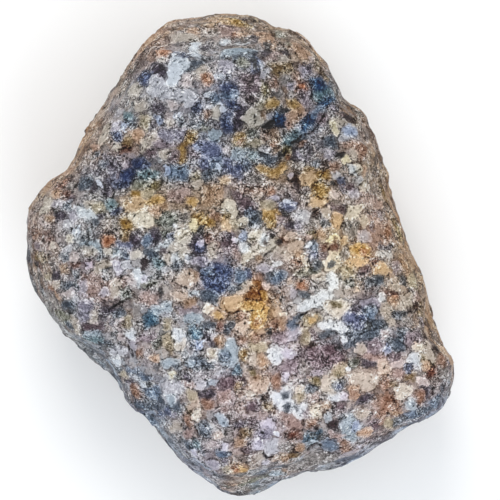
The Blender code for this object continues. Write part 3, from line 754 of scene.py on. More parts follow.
# %% List the crystals of the lower middle
LOWER_CRYSTALS = """
grey 41,301 50,310 60,322 66,334 58,327 50,319 46,309
sage 50,306 60,310 70,316 68,326 60,322 52,316
stone 71,314 78,319 77,322 71,318
slate 66,322 72,324 72,330 66,330
dusk 62,332 72,330 76,338 80,342 72,342 64,336
slate 66,339 80,343 92,350 100,358 109,370 104,368 96,360 84,351 74,346
teal 82,338 90,338 96,344 92,350 84,346
stone 70,322 80,324 80,340 76,338 70,330
quartz 78,300 92,300 94,312 88,322 80,320
stone 92,312 98,308 96,322 90,322
dusk 82,324 102,323 104,330 98,331 84,330
mist 84,333 96,331 100,337 88,338 83,337
teal 84,338 104,338 102,342 86,342
slate 98,342 108,342 112,346 106,350 98,348
ink 104,346 108,346 108,349 105,350
plum 102,308 110,307 116,308 112,314 103,316
slate 112,312 122,308 124,314 118,318 112,318
plum 110,320 114,320 114,326 111,325
bronze 92,345 98,352 102,360 98,359 93,351
peach 94,349 99,352 99,355 95,353
ash 101,352 107,350 108,356 102,358
ash 109,348 118,346 124,350 125,356 119,357 112,354
milk 111,358 117,356 120,360 120,366 117,368 112,363
slate 104,366 112,366 122,368 126,374 114,374 106,370
buff 116,374 124,372 128,376 122,380 116,378
plum 121,380 131,379 132,384 124,386 121,384
blush 122,386 127,386 128,390 122,391
blush 118,318 124,318 124,330 118,334 116,326
buff 122,317 130,316 132,326 130,332 124,328
bronze 122,323 128,323 128,328 123,328
milk 126,334 133,332 134,340 128,340
blush 116,336 122,334 124,340 118,342
lilac 126,342 134,342 134,350 128,350
grey 134,306 139,306 140,330 137,337 134,322
marine 142,318 148,314 150,309 157,309 157,316 158,322 154,326 147,328 142,322
mist 150,306 160,306 160,312 152,312
ash 160,303 170,303 171,310 168,316 162,314
buff 164,316 170,318 170,330 164,330
mauve 136,334 154,332 156,340 148,342 136,340
moss 152,341 159,341 158,347 154,348
milk 172,330 178,330 184,334 184,340 180,342 176,338 172,335
cream 176,341 184,342 183,350 177,350
buff 162,336 168,334 174,336 176,346 168,350 163,344
bronze 168,345 170,345 172,356 170,356
mist 182,314 190,312 200,313 202,318 198,323 190,324 184,322
mauve 177,308 198,307 200,312 182,313 178,318
marine 188,326 194,324 198,330 204,328 200,338 194,341 190,334
slate 200,322 214,321 216,330 206,332 200,328
plum 198,334 210,334 210,341 200,341
ice 197,342 202,342 201,348 197,347
navy 192,343 197,342 199,350 194,350
shell 208,305 214,306 222,310 228,315 222,321 214,316 208,312
bone 203,309 209,304 212,308 207,313
honey 213,311 220,312 224,317 220,320 214,316
brick 216,322 224,321 224,332 216,330
tan 216,338 221,336 224,342 221,348 216,346
ash 210,335 216,332 218,336 212,340
plum 210,342 215,342 215,347 210,347
cream 207,351 216,350 217,359 209,361
buff 210,352 214,352 214,357 211,357
mist 226,340 234,340 238,352 238,364 226,366 218,358 220,350
steel 222,352 230,354 230,362 222,361
slate 188,360 198,357 206,360 214,362 214,368 196,369 188,366
clay 134,352 142,351 142,357 136,358
peach 146,358 156,356 158,362 150,362
mist 160,362 170,360 178,362 172,366 162,368
slate 173,366 180,365 180,370 174,369
mist 186,362 192,362 191,367 187,367
ivory 166,372 174,371 175,376 168,378
plum 182,374 190,373 192,382 186,384 181,380
ink 174,377 178,377 178,381 175,381
ash 193,384 200,380 205,382 203,388 198,389 193,387
rose 182,383 192,382 194,387 184,388
ash 160,386 170,381 178,383 186,388 178,394 178,402 172,408 166,402 160,396
mist 166,395 176,396 176,404 171,407
milk 132,376 138,374 142,380 148,384 144,389 138,386 134,381
steel 128,368 140,372 150,380 147,383 138,375 128,372
ink 145,383 149,383 149,386 146,387
steel 144,389 156,386 162,393 158,400 148,400 144,396
slate 158,396 163,396 163,403 158,404
slate 158,406 170,404 172,410 160,410
clay 127,388 134,384 140,392 140,400 134,398 128,394
buff 188,390 196,392 196,400 188,400
shell 190,400 198,402 196,410 186,410
plum 196,392 212,390 216,394 208,400 198,398
slate 204,381 210,380 209,386 204,386
mist 211,381 217,380 216,385 211,385
dusk 220,378 230,378 230,388 222,390
rose 220,392 230,392 230,402 220,402
slate 144,402 156,402 157,411 148,412
slate 126,399 140,403 150,411 142,414 132,408
honey 244,305 262,303 268,308 266,318 262,326 252,328 250,320 252,312 244,310
orange 256,318 262,318 260,324 254,324
shell 238,324 248,320 250,327 242,332 237,329
clay 236,308 243,310 250,320 244,322 238,316
slate 222,324 234,322 236,326 228,334 222,332
clay 236,338 246,336 248,342 238,344
clay 256,333 262,336 258,342 252,340
ink 265,330 270,329 271,333 266,334
clay 270,322 278,320 280,326 276,332 271,328
mauve 272,334 286,330 288,342 284,349 276,344 272,340
lilac 288,331 297,326 300,332 296,340 288,342
steel 286,322 296,318 297,325 290,330
tan 280,318 285,318 284,330 280,328
slate 297,316 304,314 302,320 297,322
bone 280,312 286,312 285,316 281,316
buff 303,318 318,314 320,320 312,326 304,326
honey 309,318 316,316 316,322 310,323
milk 322,322 330,320 338,322 340,328 330,332 320,329 316,325
slate 318,333 330,331 336,332 332,336 320,337
dusk 310,330 316,333 317,340 311,338
buff 302,328 309,329 308,343 302,346
dusk 308,344 332,344 344,350 344,362 334,372 320,370 308,366 306,354
umber 310,343 318,342 317,346 311,347
lilac 312,371 324,372 320,377 312,376
cream 322,380 334,374 340,384 336,394 326,396 320,390
olive 310,378 317,377 319,383 313,384
slate 306,386 316,385 318,390 312,394 305,392
bone 294,388 304,385 303,390 296,392
buff 295,393 304,391 304,398 299,402 294,397
rose 308,396 318,395 318,401 309,402
milk 270,346 276,346 282,350 281,360 275,365 270,362 268,352
pearl 282,352 290,350 296,354 290,358 283,358
buff 248,344 262,344 267,347 266,353 258,352 250,350
stone 249,353 257,354 256,366 250,364
tan 258,354 265,356 270,362 264,369 258,362
gold 240,350 246,352 246,360 241,358
marine 232,370 238,367 242,370 240,374 233,374
dusk 226,378 240,376 246,382 240,390 228,388
bronze 236,384 242,384 240,390 235,390
mauve 282,362 292,357 300,360 300,370 290,376 280,372 278,366
grey 300,360 306,362 310,372 304,377 300,372
pearl 284,374 289,374 288,380 284,380
clay 272,376 280,374 282,384 276,390 271,384
shell 252,376 262,376 270,380 268,390 258,396 250,392 248,384
tan 254,375 262,375 264,379 256,380
cream 244,391 256,395 252,400 246,398
olive 250,371 256,371 256,375 250,375
dusk 246,402 258,400 262,404 256,410 248,410
umber 262,396 267,394 267,400 262,400
bronze 262,402 272,402 276,410 262,410
milk 272,394 280,386 290,390 292,400 300,406 298,412 284,412 275,404
slate 281,392 286,392 287,398 282,399
slate 285,406 291,405 291,410 286,410
cream 322,302 340,300 352,304 346,312 338,318 328,312
milk 336,320 342,322 346,326 345,332 340,331
violet 342,320 348,312 356,310 362,308 366,314 366,320 362,324 364,330 352,330 347,324
navy 356,316 366,312 367,319 360,323
steel 364,308 376,306 379,312 376,318 368,318 365,312
slate 352,332 362,326 366,320 382,318 388,326 384,332 376,338 360,340 350,340 348,334
ink 366,324 371,325 370,328 366,327
slate 344,326 349,324 351,334 345,338 340,336
milk 341,336 347,337 347,341 342,341
slate 342,342 358,342 354,347 344,348
ink 334,348 340,346 342,350 336,350
stone 356,346 363,343 366,350 362,354 356,352
mauve 368,342 378,338 384,346 380,352 372,354 368,350
rose 360,354 380,354 388,357 376,360 364,359
ice 386,344 390,346 390,352 387,355 384,350
slate 390,340 404,338 406,350 392,351 388,346
blush 381,332 388,332 389,336 384,338 381,335
slate 395,310 400,310 402,316 397,319 394,316
ink 402,312 407,311 408,315 405,318 401,316
umber 405,309 411,308 412,311 406,312
stone 383,305 392,300 398,306 392,314 388,318 383,312
peach 392,300 400,300 399,304 394,303
stone 388,318 396,318 396,325 390,325
grey 400,320 412,318 412,324 402,324
slate 398,330 408,328 410,336 404,342 398,338
mauve 408,332 420,330 422,340 412,346 406,342
bone 414,345 424,345 421,351 416,350
clay 416,342 421,342 421,347 417,346
stone 426,341 434,341 436,352 434,362 428,360 424,350
umber 434,340 440,340 448,346 452,350 440,352 436,356 434,348
bronze 410,300 428,302 434,318 438,332 441,338 434,338 428,326 420,312
olive 426,303 432,314 434,320 438,330 440,338 436,330 430,319
tan 433,330 437,332 439,337 434,336
umber 422,328 427,334 429,340 425,340 422,334
dusk 420,318 430,316 432,326 424,328
milk 409,356 414,352 420,354 421,362 419,368 412,365 408,361
ash 414,366 421,364 421,372 416,370
buff 421,354 430,356 436,362 436,370 428,372 422,368
peach 424,362 430,362 432,370 424,370
brick 431,367 437,368 437,374 433,379 428,378 430,372
clay 440,354 446,352 448,364 444,370 440,364
grey 440,368 450,368 450,378 442,380
stone 445,356 452,356 450,360 445,360
quartz 450,352 456,358 458,370 454,378 450,380 450,366
slate 447,382 453,380 450,388 446,394 440,400 443,390
steel 430,404 438,398 444,396 440,404 434,410
blush 417,378 426,378 430,384 424,386 418,384
plum 422,386 429,383 431,390 428,398 424,394 421,390
cream 396,388 404,385 411,388 412,394 404,398 396,396
blush 410,390 416,391 414,398 410,396
clay 415,394 422,392 425,398 421,406 417,402
mist 405,402 412,399 416,404 415,410 408,409
slate 418,409 430,407 430,412 418,413
bronze 405,374 414,374 414,380 406,380
navy 406,366 411,364 414,369 409,373 405,371
blush 392,364 400,360 404,362 400,367 394,366
dusk 390,354 400,354 402,359 396,362 390,360
shell 379,360 385,360 392,368 393,374 388,372 382,378 378,372 378,364
clay 382,377 392,376 394,386 386,390 380,386
bronze 391,382 398,381 398,387 392,388
rose 392,370 404,368 404,378 396,380
buff 334,366 346,362 350,368 344,376 336,378 330,374
olive 337,372 340,372 339,376 337,375
snow 347,367 350,367 350,370 347,370
slate 332,382 344,380 344,388 340,394 336,392 333,388
violet 337,384 341,384 341,389 337,389
milk 329,394 335,391 340,396 338,401 332,402 329,398
pearl 341,394 346,394 346,399 342,399
peach 348,387 359,387 360,398 350,399
clay 352,391 357,391 357,396 353,397
stone 350,376 366,374 378,378 378,386 366,392 352,385
moss 346,362 358,360 358,366 350,368
plum 360,360 376,362 376,368 364,367
plum 360,398 370,394 374,396 364,404 356,404
tan 322,404 330,402 330,410 322,410
dusk 335,402 346,402 346,412 334,412
clay 378,397 388,393 400,400 401,412 382,412
"""
print("lower middle:", LOWER_CRYSTALS.count("\n") - 1, "crystals")

# %% List the crystals of the pointed end
POINTED_CRYSTALS = """
slate 172,406 180,402 182,410 178,414 172,412
lilac 169,412 176,413 174,417 170,416
navy 158,412 168,408 170,414 168,420 162,424 158,418
buff 186,404 196,400 198,408 190,411 184,409
bone 193,413 199,411 199,421 196,423 193,418
clay 182,416 188,414 193,420 192,428 186,426 182,422
bronze 186,411 190,411 190,416 187,416
rose 185,430 192,430 192,437 186,438
slate 200,424 210,422 212,430 208,438 200,436 196,430
mist 214,416 222,412 226,420 230,426 226,428 220,424
rose 220,408 228,408 228,413 221,412
clay 200,402 214,402 214,408 204,410
stone 168,424 178,422 180,430 172,434 166,430
mist 158,422 166,426 172,440 176,450 170,450 162,436
steel 142,408 158,424 158,430 150,424 138,414
ash 178,446 184,446 186,452 180,456 176,451
slate 178,441 188,439 196,446 198,450 188,450
teal 194,440 200,441 198,449 193,447
pearl 188,452 195,450 197,456 192,459 187,457
blush 204,444 214,442 218,446 212,450 204,449
umber 178,455 188,453 188,460 182,463
brick 192,464 198,463 200,467 195,469
lilac 202,462 214,462 220,466 216,472 206,472 202,467
slate 190,470 206,472 222,480 230,489 214,486 200,478
steel 214,452 224,450 230,456 224,460 216,458
plum 220,462 227,461 228,468 222,470
buff 222,470 232,468 232,476 226,478
shell 214,436 220,434 222,438 215,439
grey 222,430 232,430 232,440 224,444
pearl 222,445 228,445 228,450 222,449
plum 234,424 246,422 246,427 236,428
dusk 246,420 255,420 256,429 249,428
bronze 240,429 251,430 250,440 242,438
tan 234,438 246,440 246,446 236,446
dusk 244,447 252,446 252,454 244,454
pearl 262,422 272,420 276,428 270,429 262,428
quartz 254,431 262,430 272,429 274,434 268,440 260,439 256,436
snow 275,432 279,432 279,436 276,436
pearl 254,440 260,440 263,446 262,451 256,451 253,446
ash 266,444 270,439 276,441 278,448 276,454 270,456 266,452 264,447
grey 280,444 288,441 291,447 286,452 281,450
umber 290,446 296,446 298,450 292,451
shell 272,458 278,456 278,464 276,468 272,464
stone 254,456 262,453 264,460 258,462 254,460
tan 280,454 290,457 288,464 284,474 280,470 279,460
rust 281,462 285,462 284,468 281,467
pearl 264,464 270,463 271,470 267,472 264,468
mist 272,472 280,470 286,475 278,478 270,476
tan 226,466 236,464 246,466 250,474 240,478 230,476 226,470
rust 231,467 236,468 239,473 235,473
honey 239,468 246,470 246,474 240,475
peach 222,476 236,479 244,480 236,486 226,484
moss 222,484 230,486 229,490 222,488
sage 236,484 250,478 262,474 272,476 264,482 252,489 240,491
steel 246,497 256,490 266,484 276,479 287,477 284,484 270,491 256,496
quartz 222,489 234,492 246,494 246,498 232,495 222,492
grey 288,458 306,453 322,452 340,456 350,461 330,468 304,469 290,470
bronze 291,452 300,454 297,460 290,458
brick 286,432 298,430 300,436 290,440
marine 302,436 310,432 320,432 322,438 312,440 304,442
ink 311,433 314,433 314,436 311,436
ink 318,435 321,435 321,438 318,438
mist 306,441 318,441 320,445 308,446
tan 298,442 304,446 302,450 297,448
rose 280,412 296,416 304,422 300,430 288,428 280,420
clay 273,411 277,412 277,416 274,415
milk 292,404 304,404 308,410 302,418 296,416 292,410
slate 295,406 298,406 298,409 295,409
bone 310,410 318,404 322,408 320,418 314,420 310,416
clay 304,420 316,419 318,427 306,426
mauve 304,413 309,410 309,418 305,418
mist 325,415 331,415 332,421 326,422
wine 328,422 338,422 340,428 334,431 329,428
mist 342,418 350,414 358,420 362,428 362,434 356,438 350,444 343,440 341,430
ice 350,422 358,420 360,428 352,430
stone 356,412 366,408 368,416 362,420 356,416
peach 358,430 370,428 372,434 362,438 358,434
dusk 370,420 380,420 380,430 372,432
tan 392,412 402,412 398,418 392,416
clay 376,412 386,412 384,424 378,420
buff 386,420 394,420 394,430 386,428
slate 394,420 404,421 402,427 394,428
steel 404,418 416,410 426,410 428,414 416,420 406,424
marine 380,440 392,433 404,426 402,430 392,437 382,441
steel 383,437 394,430 404,423 404,426 392,433
dusk 366,440 380,436 382,440 372,446 366,444
pearl 356,446 364,445 363,451 357,450
clay 340,440 350,442 352,452 344,456 340,448
steel 322,440 334,441 338,448 332,450 324,449
rose 330,432 346,436 342,440 332,438
ice 344,466 350,459 360,452 368,448 370,450 360,457 352,463
steel 290,474 304,471 330,469 345,466 344,468 330,471 306,473 290,476
"""
print("pointed end:", POINTED_CRYSTALS.count("\n") - 1, "crystals")

# %% [markdown]
# ## Where each crystal lies on the skin
#
# A crystal's corners are pixels, and `pixel_of` says in which pixel each point of the
# skin is seen. So every point can be told how far it lies inside or outside of each
# crystal. That distance is kept on the skin instead of a painted colour, because it
# stays exact between two points: the paint can then break a crystal's edge crisply and
# unevenly, as real ones are. Crystals that touch need separate layers, or one would
# blur into the next, so they are dealt out, the large ones first. On steep flanks a
# crystal would smear down the side, so there the distance grows and it fades out.

# %% Read the lists


def crystals_of(listing):
    """The tone and the corner points of each crystal in a list."""
    crystals = []
    for line in listing.strip().splitlines():
        tone, *corners = line.split()
        points = np.array([corner.split(",") for corner in corners], dtype=float)
        crystals.append((tone, points))
    return crystals


def linear_colour(hex_code):
    """A tone's red, green and blue as amounts of light."""
    shown = np.array([int(hex_code[start:start + 2], 16) / 255 for start in (0, 2, 4)])
    return np.where(shown < 0.04045, shown / 12.92, ((shown + 0.055) / 1.055) ** 2.4)


def area_of(corners):
    """The area of a polygon, in square pixels."""
    after = np.roll(corners, -1, axis=0)
    return abs(np.sum(corners[:, 0] * after[:, 1] - after[:, 0] * corners[:, 1])) / 2


crystals = (crystals_of(UPPER_CRYSTALS) + crystals_of(SHOULDER_CRYSTALS) + crystals_of(MIDDLE_CRYSTALS)
            + crystals_of(LOWER_CRYSTALS) + crystals_of(POINTED_CRYSTALS))
crystals.sort(key=lambda crystal: -area_of(crystal[1]))
print(len(crystals), "crystals, the largest", round(area_of(crystals[0][1])), "square pixels")

# %% Measure how far a place is inside a crystal
LEAST_RISE = 1e-9


def gap_to_stretch(start, end, places):
    """Each place's distance to the straight stretch between two points."""
    along = end - start
    reach = places - start
    share = np.clip(reach @ along / (along @ along), 0.0, 1.0)
    return np.linalg.norm(reach - share[:, None] * along, axis=1)


def distance_inside(corners, places):
    """Each place's distance to a polygon's edge in pixels, negative inside it."""
    nearest = np.full(len(places), np.inf)
    inside = np.zeros(len(places), dtype=bool)
    for start, end in zip(corners, np.roll(corners, -1, axis=0)):
        nearest = np.minimum(nearest, gap_to_stretch(start, end, places))
        crosses = (start[1] > places[:, 1]) != (end[1] > places[:, 1])
        rise = end[1] - start[1] or LEAST_RISE
        crossing = start[0] + (places[:, 1] - start[1]) * (end[0] - start[0]) / rise
        inside ^= crosses & (places[:, 0] < crossing)
    return np.where(inside, -nearest, nearest)


middle_depth = distance_inside(crystals[0][1], crystals[0][1].mean(0)[None])[0]
print("depth at the middle of the largest crystal:", round(float(middle_depth), 1), "pixels")

# %% Deal the crystals out in layers
LAYERS = 6
TOUCHING = 5.0


def deal_layers(crystals):
    """Give each crystal a layer in which no neighbour lies, above what it covers."""
    dealt = []
    for number, (tone, corners) in enumerate(crystals):
        crowd = np.zeros(LAYERS)
        floor_layer = 0
        for other in range(number):
            other_corners = crystals[other][1]
            if np.any(corners.min(0) > other_corners.max(0) + TOUCHING):
                continue
            if np.any(corners.max(0) < other_corners.min(0) - TOUCHING):
                continue
            if distance_inside(other_corners, corners).min() < TOUCHING:
                crowd[dealt[other]] += 1
            if distance_inside(other_corners, corners.mean(0)[None]).min() < 0:
                floor_layer = max(floor_layer, dealt[other] + 1)
        floor_layer = min(floor_layer, LAYERS - 1)
        dealt.append(floor_layer + int(np.argmin(crowd[floor_layer:])))
    return dealt


layer_of = deal_layers(crystals)
print("crystals in each layer:", np.bincount(layer_of, minlength=LAYERS))

# %% Find where each point of the skin is seen
FLANK_FACING = 0.50
FLANK_FADE = 45.0
WANDER = ((2.8, 2.6), (1.2, 1.6))

# Blender's noise vectors start from the clock unless they are given a seed.
NOISE_SEED = 41
noise.seed_set(NOISE_SEED)


def points_of(mesh):
    """The mesh's points and their normals."""
    places = np.empty(len(mesh.vertices) * 3, dtype=np.float32)
    mesh.vertices.foreach_get("co", places)
    normals = np.empty(len(mesh.vertices) * 3, dtype=np.float32)
    mesh.vertices.foreach_get("normal", normals)
    return places.reshape(-1, 3).astype(float), normals.reshape(-1, 3).astype(float)


def wander_at(places):
    """How far each place's crystal outlines stray, in pixels."""
    stray = np.zeros((len(places), 2))
    for size, reach in WANDER:
        for number, place in enumerate(places):
            stray[number] += reach * np.array(noise.noise_vector(Vector(place / MM) / size))[:2]
    return stray


rest_places, rest_normals = points_of(skin)
seen = pixel_of(rest_places)
wandered = seen + wander_at(rest_places)
flank_fade = FLANK_FADE * np.maximum(0.0, FLANK_FACING - rest_normals[:, 2])
print("the stone is seen from pixel", seen.min(0).round(1), "to", seen.max(0).round(1))

# %% Measure each point against the crystals
REACH = 9.0
MATRIX_TONE = "7C6C6A"
crystal_edge = np.full((LAYERS, len(seen)), REACH)
crystal_tone = np.tile(linear_colour(MATRIX_TONE), (LAYERS, len(seen), 1))
crystal_number = np.full((LAYERS, len(seen)), -1)
for number, (tone, corners) in enumerate(crystals):
    near = np.all((wandered > corners.min(0) - REACH) & (wandered < corners.max(0) + REACH), axis=1)
    near = np.nonzero(near)[0]
    edge = distance_inside(corners, wandered[near])
    layer = layer_of[number]
    closer = edge < crystal_edge[layer, near]
    crystal_edge[layer, near[closer]] = edge[closer]
    crystal_tone[layer, near[closer]] = linear_colour(TONES[tone])
    crystal_number[layer, near[closer]] = number
crystal_edge += flank_fade
covered = (crystal_edge.min(0) < 0).sum() / max(1, (rest_normals[:, 2] > FLANK_FACING).sum())
print("share of the broad face under listed crystals:", round(float(covered), 2))

# %% [markdown]
# ## Cracks, veins and the finer mixture
#
# Open cracks and dark joints run between some crystals, and a few pale veins cross
# them, with a painted highlight along a lit ledge. They are lines, so they are listed as
# the pixels that they run through. Between the listed crystals lies a finer mixture,
# ground from the same minerals: its tone at any point is the mean tone of the crystals
# around it.

# %% List the lines
CRACKS = """
325,113 320,122 314,130 303,135 292,141 287,148 281,160
337,104 350,111 360,122 370,134
311,80 312,86 313,92 314,100
270,32 276,37 280,41 284,46 288,51 291,57
263,129 270,122 276,120
245,185 250,187 255,187 262,186 268,187
182,202 186,206 190,212
180,238 185,235 189,232
162,261 166,265 170,268
140,289 148,286 155,283
335,157 340,153 345,152
348,166 353,162 358,161
352,174 358,171 361,169
360,185 364,182 370,181
343,216 344,222 341,228
314,230 318,236 322,243
364,273 371,275
300,316 306,313 312,310 320,307 327,303
222,303 225,309 230,312
220,319 228,315 238,311
110,309 116,306 120,303 130,299
124,343 128,351 131,357
430,360 434,364 437,369
422,328 427,334 429,340
392,351 398,352 404,351
334,348 340,347 344,352
263,454 268,459 274,457
307,450 310,446 316,444 321,447
373,165 374,172 377,178
118,150 124,148 130,147
250,239 256,238
262,258 270,252 276,247
"""
# The second line is a painted highlight along the lit ledge under the upper lobe.
VEINS_AND_LIT_LEDGES = """
198,283 206,287 214,292 222,298
220,181 230,177 240,180 246,184 252,185 262,184 272,184
190,262 197,266 203,269
292,212 296,216 300,220
417,406 423,408 429,402
363,404 368,402
208,362 216,361
391,280 400,275 403,279 400,283
426,329 430,336
203,308 210,304
"""


def distance_to_lines(listing, places):
    """Each place's distance in pixels to the nearest of some lines."""
    nearest = np.full(len(places), REACH)
    for line in listing.strip().splitlines():
        points = np.array([corner.split(",") for corner in line.split()], dtype=float)
        for start, end in zip(points[:-1], points[1:]):
            nearest = np.minimum(nearest, gap_to_stretch(start, end, places))
    return nearest


crack_edge = distance_to_lines(CRACKS, seen) + flank_fade
vein_and_ledge_edge = distance_to_lines(VEINS_AND_LIT_LEDGES, seen) + flank_fade
print("points in a crack:", int((crack_edge < 1.0).sum()))

# %% Mix the finer tone
MIXTURE_REACH = 13.0
CHUNK = 8000


def mixture_tone(places):
    """The mean tone of the crystals around each place, weighed by size and nearness."""
    middles = np.array([corners.mean(0) for tone, corners in crystals])
    weights = np.array([area_of(corners) for tone, corners in crystals])
    tones = np.array([linear_colour(TONES[tone]) for tone, corners in crystals])
    mixed = np.empty((len(places), 3))
    for start in range(0, len(places), CHUNK):
        part = places[start:start + CHUNK]
        gaps = ((part[:, None] - middles[None]) ** 2).sum(2)
        near = np.exp(-(gaps - gaps.min(1, keepdims=True)) / (2 * MIXTURE_REACH ** 2)) * weights
        mixed[start:start + CHUNK] = (near @ tones) / near.sum(1, keepdims=True)
    return mixed


mixture = mixture_tone(seen)
print("mean mixture tone:", mixture.mean(0).round(3))

# %% [markdown]
# ## Tints and painted shade
#
# The stone also carries broad soft patches that ignore the crystals: painted shade, dark
# and bluish, in the hollow under the upper lobe, a brown right side stained by weather,
# and paler, pinkish patches lower down. Each is written as a place, a reach and a tint,
# and a tint above one lightens.

# %% List the tints and the painted shade
# The first two patches are painted shade, dark and bluish, in the hollow under the upper lobe.
TINTS_AND_PAINTED_SHADE = (
    ((270, 85), 45, (0.78, 0.80, 0.84)),
    ((275, 155), 45, (0.80, 0.80, 0.82)),
    ((160, 60), 30, (0.95, 0.97, 1.02)),
    ((340, 250), 40, (1.20, 1.16, 1.10)),
    ((330, 380), 60, (1.20, 1.15, 1.15)),
    ((250, 330), 60, (1.15, 1.12, 1.10)),
    ((150, 340), 50, (1.12, 1.10, 1.12)),
    ((220, 430), 50, (1.12, 1.10, 1.14)),
    ((400, 400), 50, (1.15, 1.10, 1.08)),
    ((395, 230), 40, (1.08, 1.02, 0.90)),
)


def tints_and_shade_at(places):
    """The tint that all patches together give each place, painted shade included."""
    tint = np.ones((len(places), 3))
    for middle, reach, colour in TINTS_AND_PAINTED_SHADE:
        share = np.exp(-((places - middle) ** 2).sum(1) / (2 * reach ** 2))
        tint *= 1.0 + share[:, None] * (np.array(colour) - 1.0)
    return tint


tint_and_shade = tints_and_shade_at(seen)
print("washes from", tint_and_shade.min().round(2), "to", tint_and_shade.max().round(2))

# %% [markdown]
# ## Relief
#
# A broken granite face is uneven at every scale. Each crystal stands a little proud or
# low and breaks at its own slant, dark mica is worn lower, and the cracks are open.
# These are real shapes, so the points of the skin are moved along their normals. Only
# what is smaller than the skin's cells is left to the paint.

# %% Shape the listed crystals
SEED = 41
PROUD = 0.26
RISE_SPAN = (-0.6, 1.0)
SLANT = 0.055
DARK_SINK = 0.22
SINK_SPAN = (0.3, 1.0)
DARK_TONE = 0.10
EDGE_SLOPE = 1.7
CRACK_DEPTH = 0.45
CRACK_HALF_WIDTH = 1.5
VEIN_RISE = 0.10
PIXEL_MM = PHOTO_PIXEL / MM

draw = np.random.default_rng(SEED)
rise_of = draw.uniform(*RISE_SPAN, len(crystals)) * PROUD
slant_of = draw.normal(0.0, SLANT, (len(crystals), 2))
for number, (tone, corners) in enumerate(crystals):
    if linear_colour(TONES[tone]).mean() < DARK_TONE:
        rise_of[number] = -DARK_SINK * draw.uniform(*SINK_SPAN)


def ease(share):
    """0 to 1 with a soft start and end."""
    share = np.clip(share, 0.0, 1.0)
    return share * share * (3.0 - 2.0 * share)


middles = np.array([corners.mean(0) for tone, corners in crystals])
relief = np.zeros(len(seen))
for layer in range(LAYERS):
    number = crystal_number[layer]
    listed = number >= 0
    out = (seen[listed] - middles[number[listed]]) * PIXEL_MM
    height = rise_of[number[listed]] + (out * slant_of[number[listed]]).sum(1)
    share = ease(0.5 - crystal_edge[layer, listed] / (2 * EDGE_SLOPE))
    relief[listed] += (height - relief[listed]) * share
relief -= CRACK_DEPTH * ease(1.0 - crack_edge / CRACK_HALF_WIDTH)
relief += VEIN_RISE * ease(1.0 - vein_and_ledge_edge / CRACK_HALF_WIDTH)
print("crystal relief from", round(relief.min(), 2), "to", round(relief.max(), 2), "mm")

# %% Roughen the whole stone
SWELLS = ((9.0, 0.42), (3.6, 0.22), (1.5, 0.11))
SWELL_STEP = 7.3
SWELL_START = (1.9, 4.1)
LEAN_DRAW = 3.7
RISE_DRAW = 11.3
CHIPS = ((11.0, 0.40, 0.055), (5.2, 0.24, 0.10))
CHIP_SHARE_UNDER_CRYSTALS = 0.45


def swells_at(place_mm):
    """The height of the uneven ground at a place, in mm."""
    height = 0.0
    for number, (size, rise) in enumerate(SWELLS):
        height += rise * noise.noise(place_mm / size + Vector((number * SWELL_STEP, *SWELL_START)))
    return height


def chips_at(place_mm):
    """The height of the broken faces that a place lies in, in mm."""
    height = 0.0
    for size, rise, slant in CHIPS:
        at = place_mm / size
        centre = noise.voronoi(at)[1][0]
        lean = noise.noise_vector(centre * LEAN_DRAW)
        height += rise * (noise.cell(centre * RISE_DRAW) - 0.5) + slant * size * (at - centre).dot(lean)
    return height


ground = np.empty(len(seen))
for number, place in enumerate(rest_places):
    place_mm = Vector(place / MM)
    share = CHIP_SHARE_UNDER_CRYSTALS if crystal_edge[:, number].min() < 0 else 1.0
    ground[number] = swells_at(place_mm) + share * chips_at(place_mm)
print("ground relief from", round(ground.min(), 2), "to", round(ground.max(), 2), "mm")

# %% Move the points
FLOOR_CLEAR = 1.2
settle = ease(rest_places[:, 2] / (FLOOR_CLEAR * MM))
moved = rest_places + rest_normals * ((relief + ground) * settle * MM)[:, None]
moved[:, 2] = np.maximum(moved[:, 2], 0.0)
skin.vertices.foreach_set("co", moved.astype(np.float32).ravel())
skin.update()
print("points moved by up to", round(np.abs(moved - rest_places).max() / MM, 2), "mm")

# %% [markdown]
# ## What the paint needs to know
#
# The distances, tones and mixtures are stored on the skin's points, where the paint
# reads them by name. A colour has a fourth place, which holds how rough the mineral
# breaks: quartz is glassy, feldspar satin, and weathered grains are dull. The points
# also keep a blurred tone for the stains, where the brown rind of weather lies on steep
# faces, and where a painted cool sheen of reflected light lies on the steep faces that
# look towards the bottom of the view, high on the flank.

# %% Store the fields on the skin
GLASSY_ROUGHNESS = 0.42
SATIN_ROUGHNESS = 0.62
DULL_ROUGHNESS = 0.82
MIXTURE_ROUGHNESS = 0.75
GLASSY = ("quartz", "lilac", "violet", "steel", "mist", "pearl", "grey", "ink", "black")
DULL = ("gold", "amber", "orange", "rust", "clay", "brick", "umber", "bronze", "olive", "moss", "sage")


def keep_field(name, values):
    """Store a number for each point."""
    field = skin.attributes.new(name, "FLOAT", "POINT")
    field.data.foreach_set("value", values.astype(np.float32))


def keep_colour(name, colours, fourth):
    """Store a colour and a fourth value for each point."""
    field = skin.attributes.new(name, "FLOAT_COLOR", "POINT")
    field.data.foreach_set("color", np.column_stack([colours, fourth]).astype(np.float32).ravel())


roughness_of = np.array([GLASSY_ROUGHNESS if tone in GLASSY else DULL_ROUGHNESS if tone in DULL
                         else SATIN_ROUGHNESS for tone, corners in crystals] + [MIXTURE_ROUGHNESS])
for layer in range(LAYERS):
    keep_field(f"edge_{layer}", crystal_edge[layer])
    keep_colour(f"tone_{layer}", crystal_tone[layer], roughness_of[crystal_number[layer]])
keep_field("crack_edge", crack_edge)
keep_field("vein_and_ledge_edge", vein_and_ledge_edge)
keep_colour("mixture", mixture, np.ones(len(seen)))
print(len(skin.attributes), "fields so far")

# %% Blur the tones into a veil
VEIL_PASSES = 6
VEIL_SHARE = 0.5


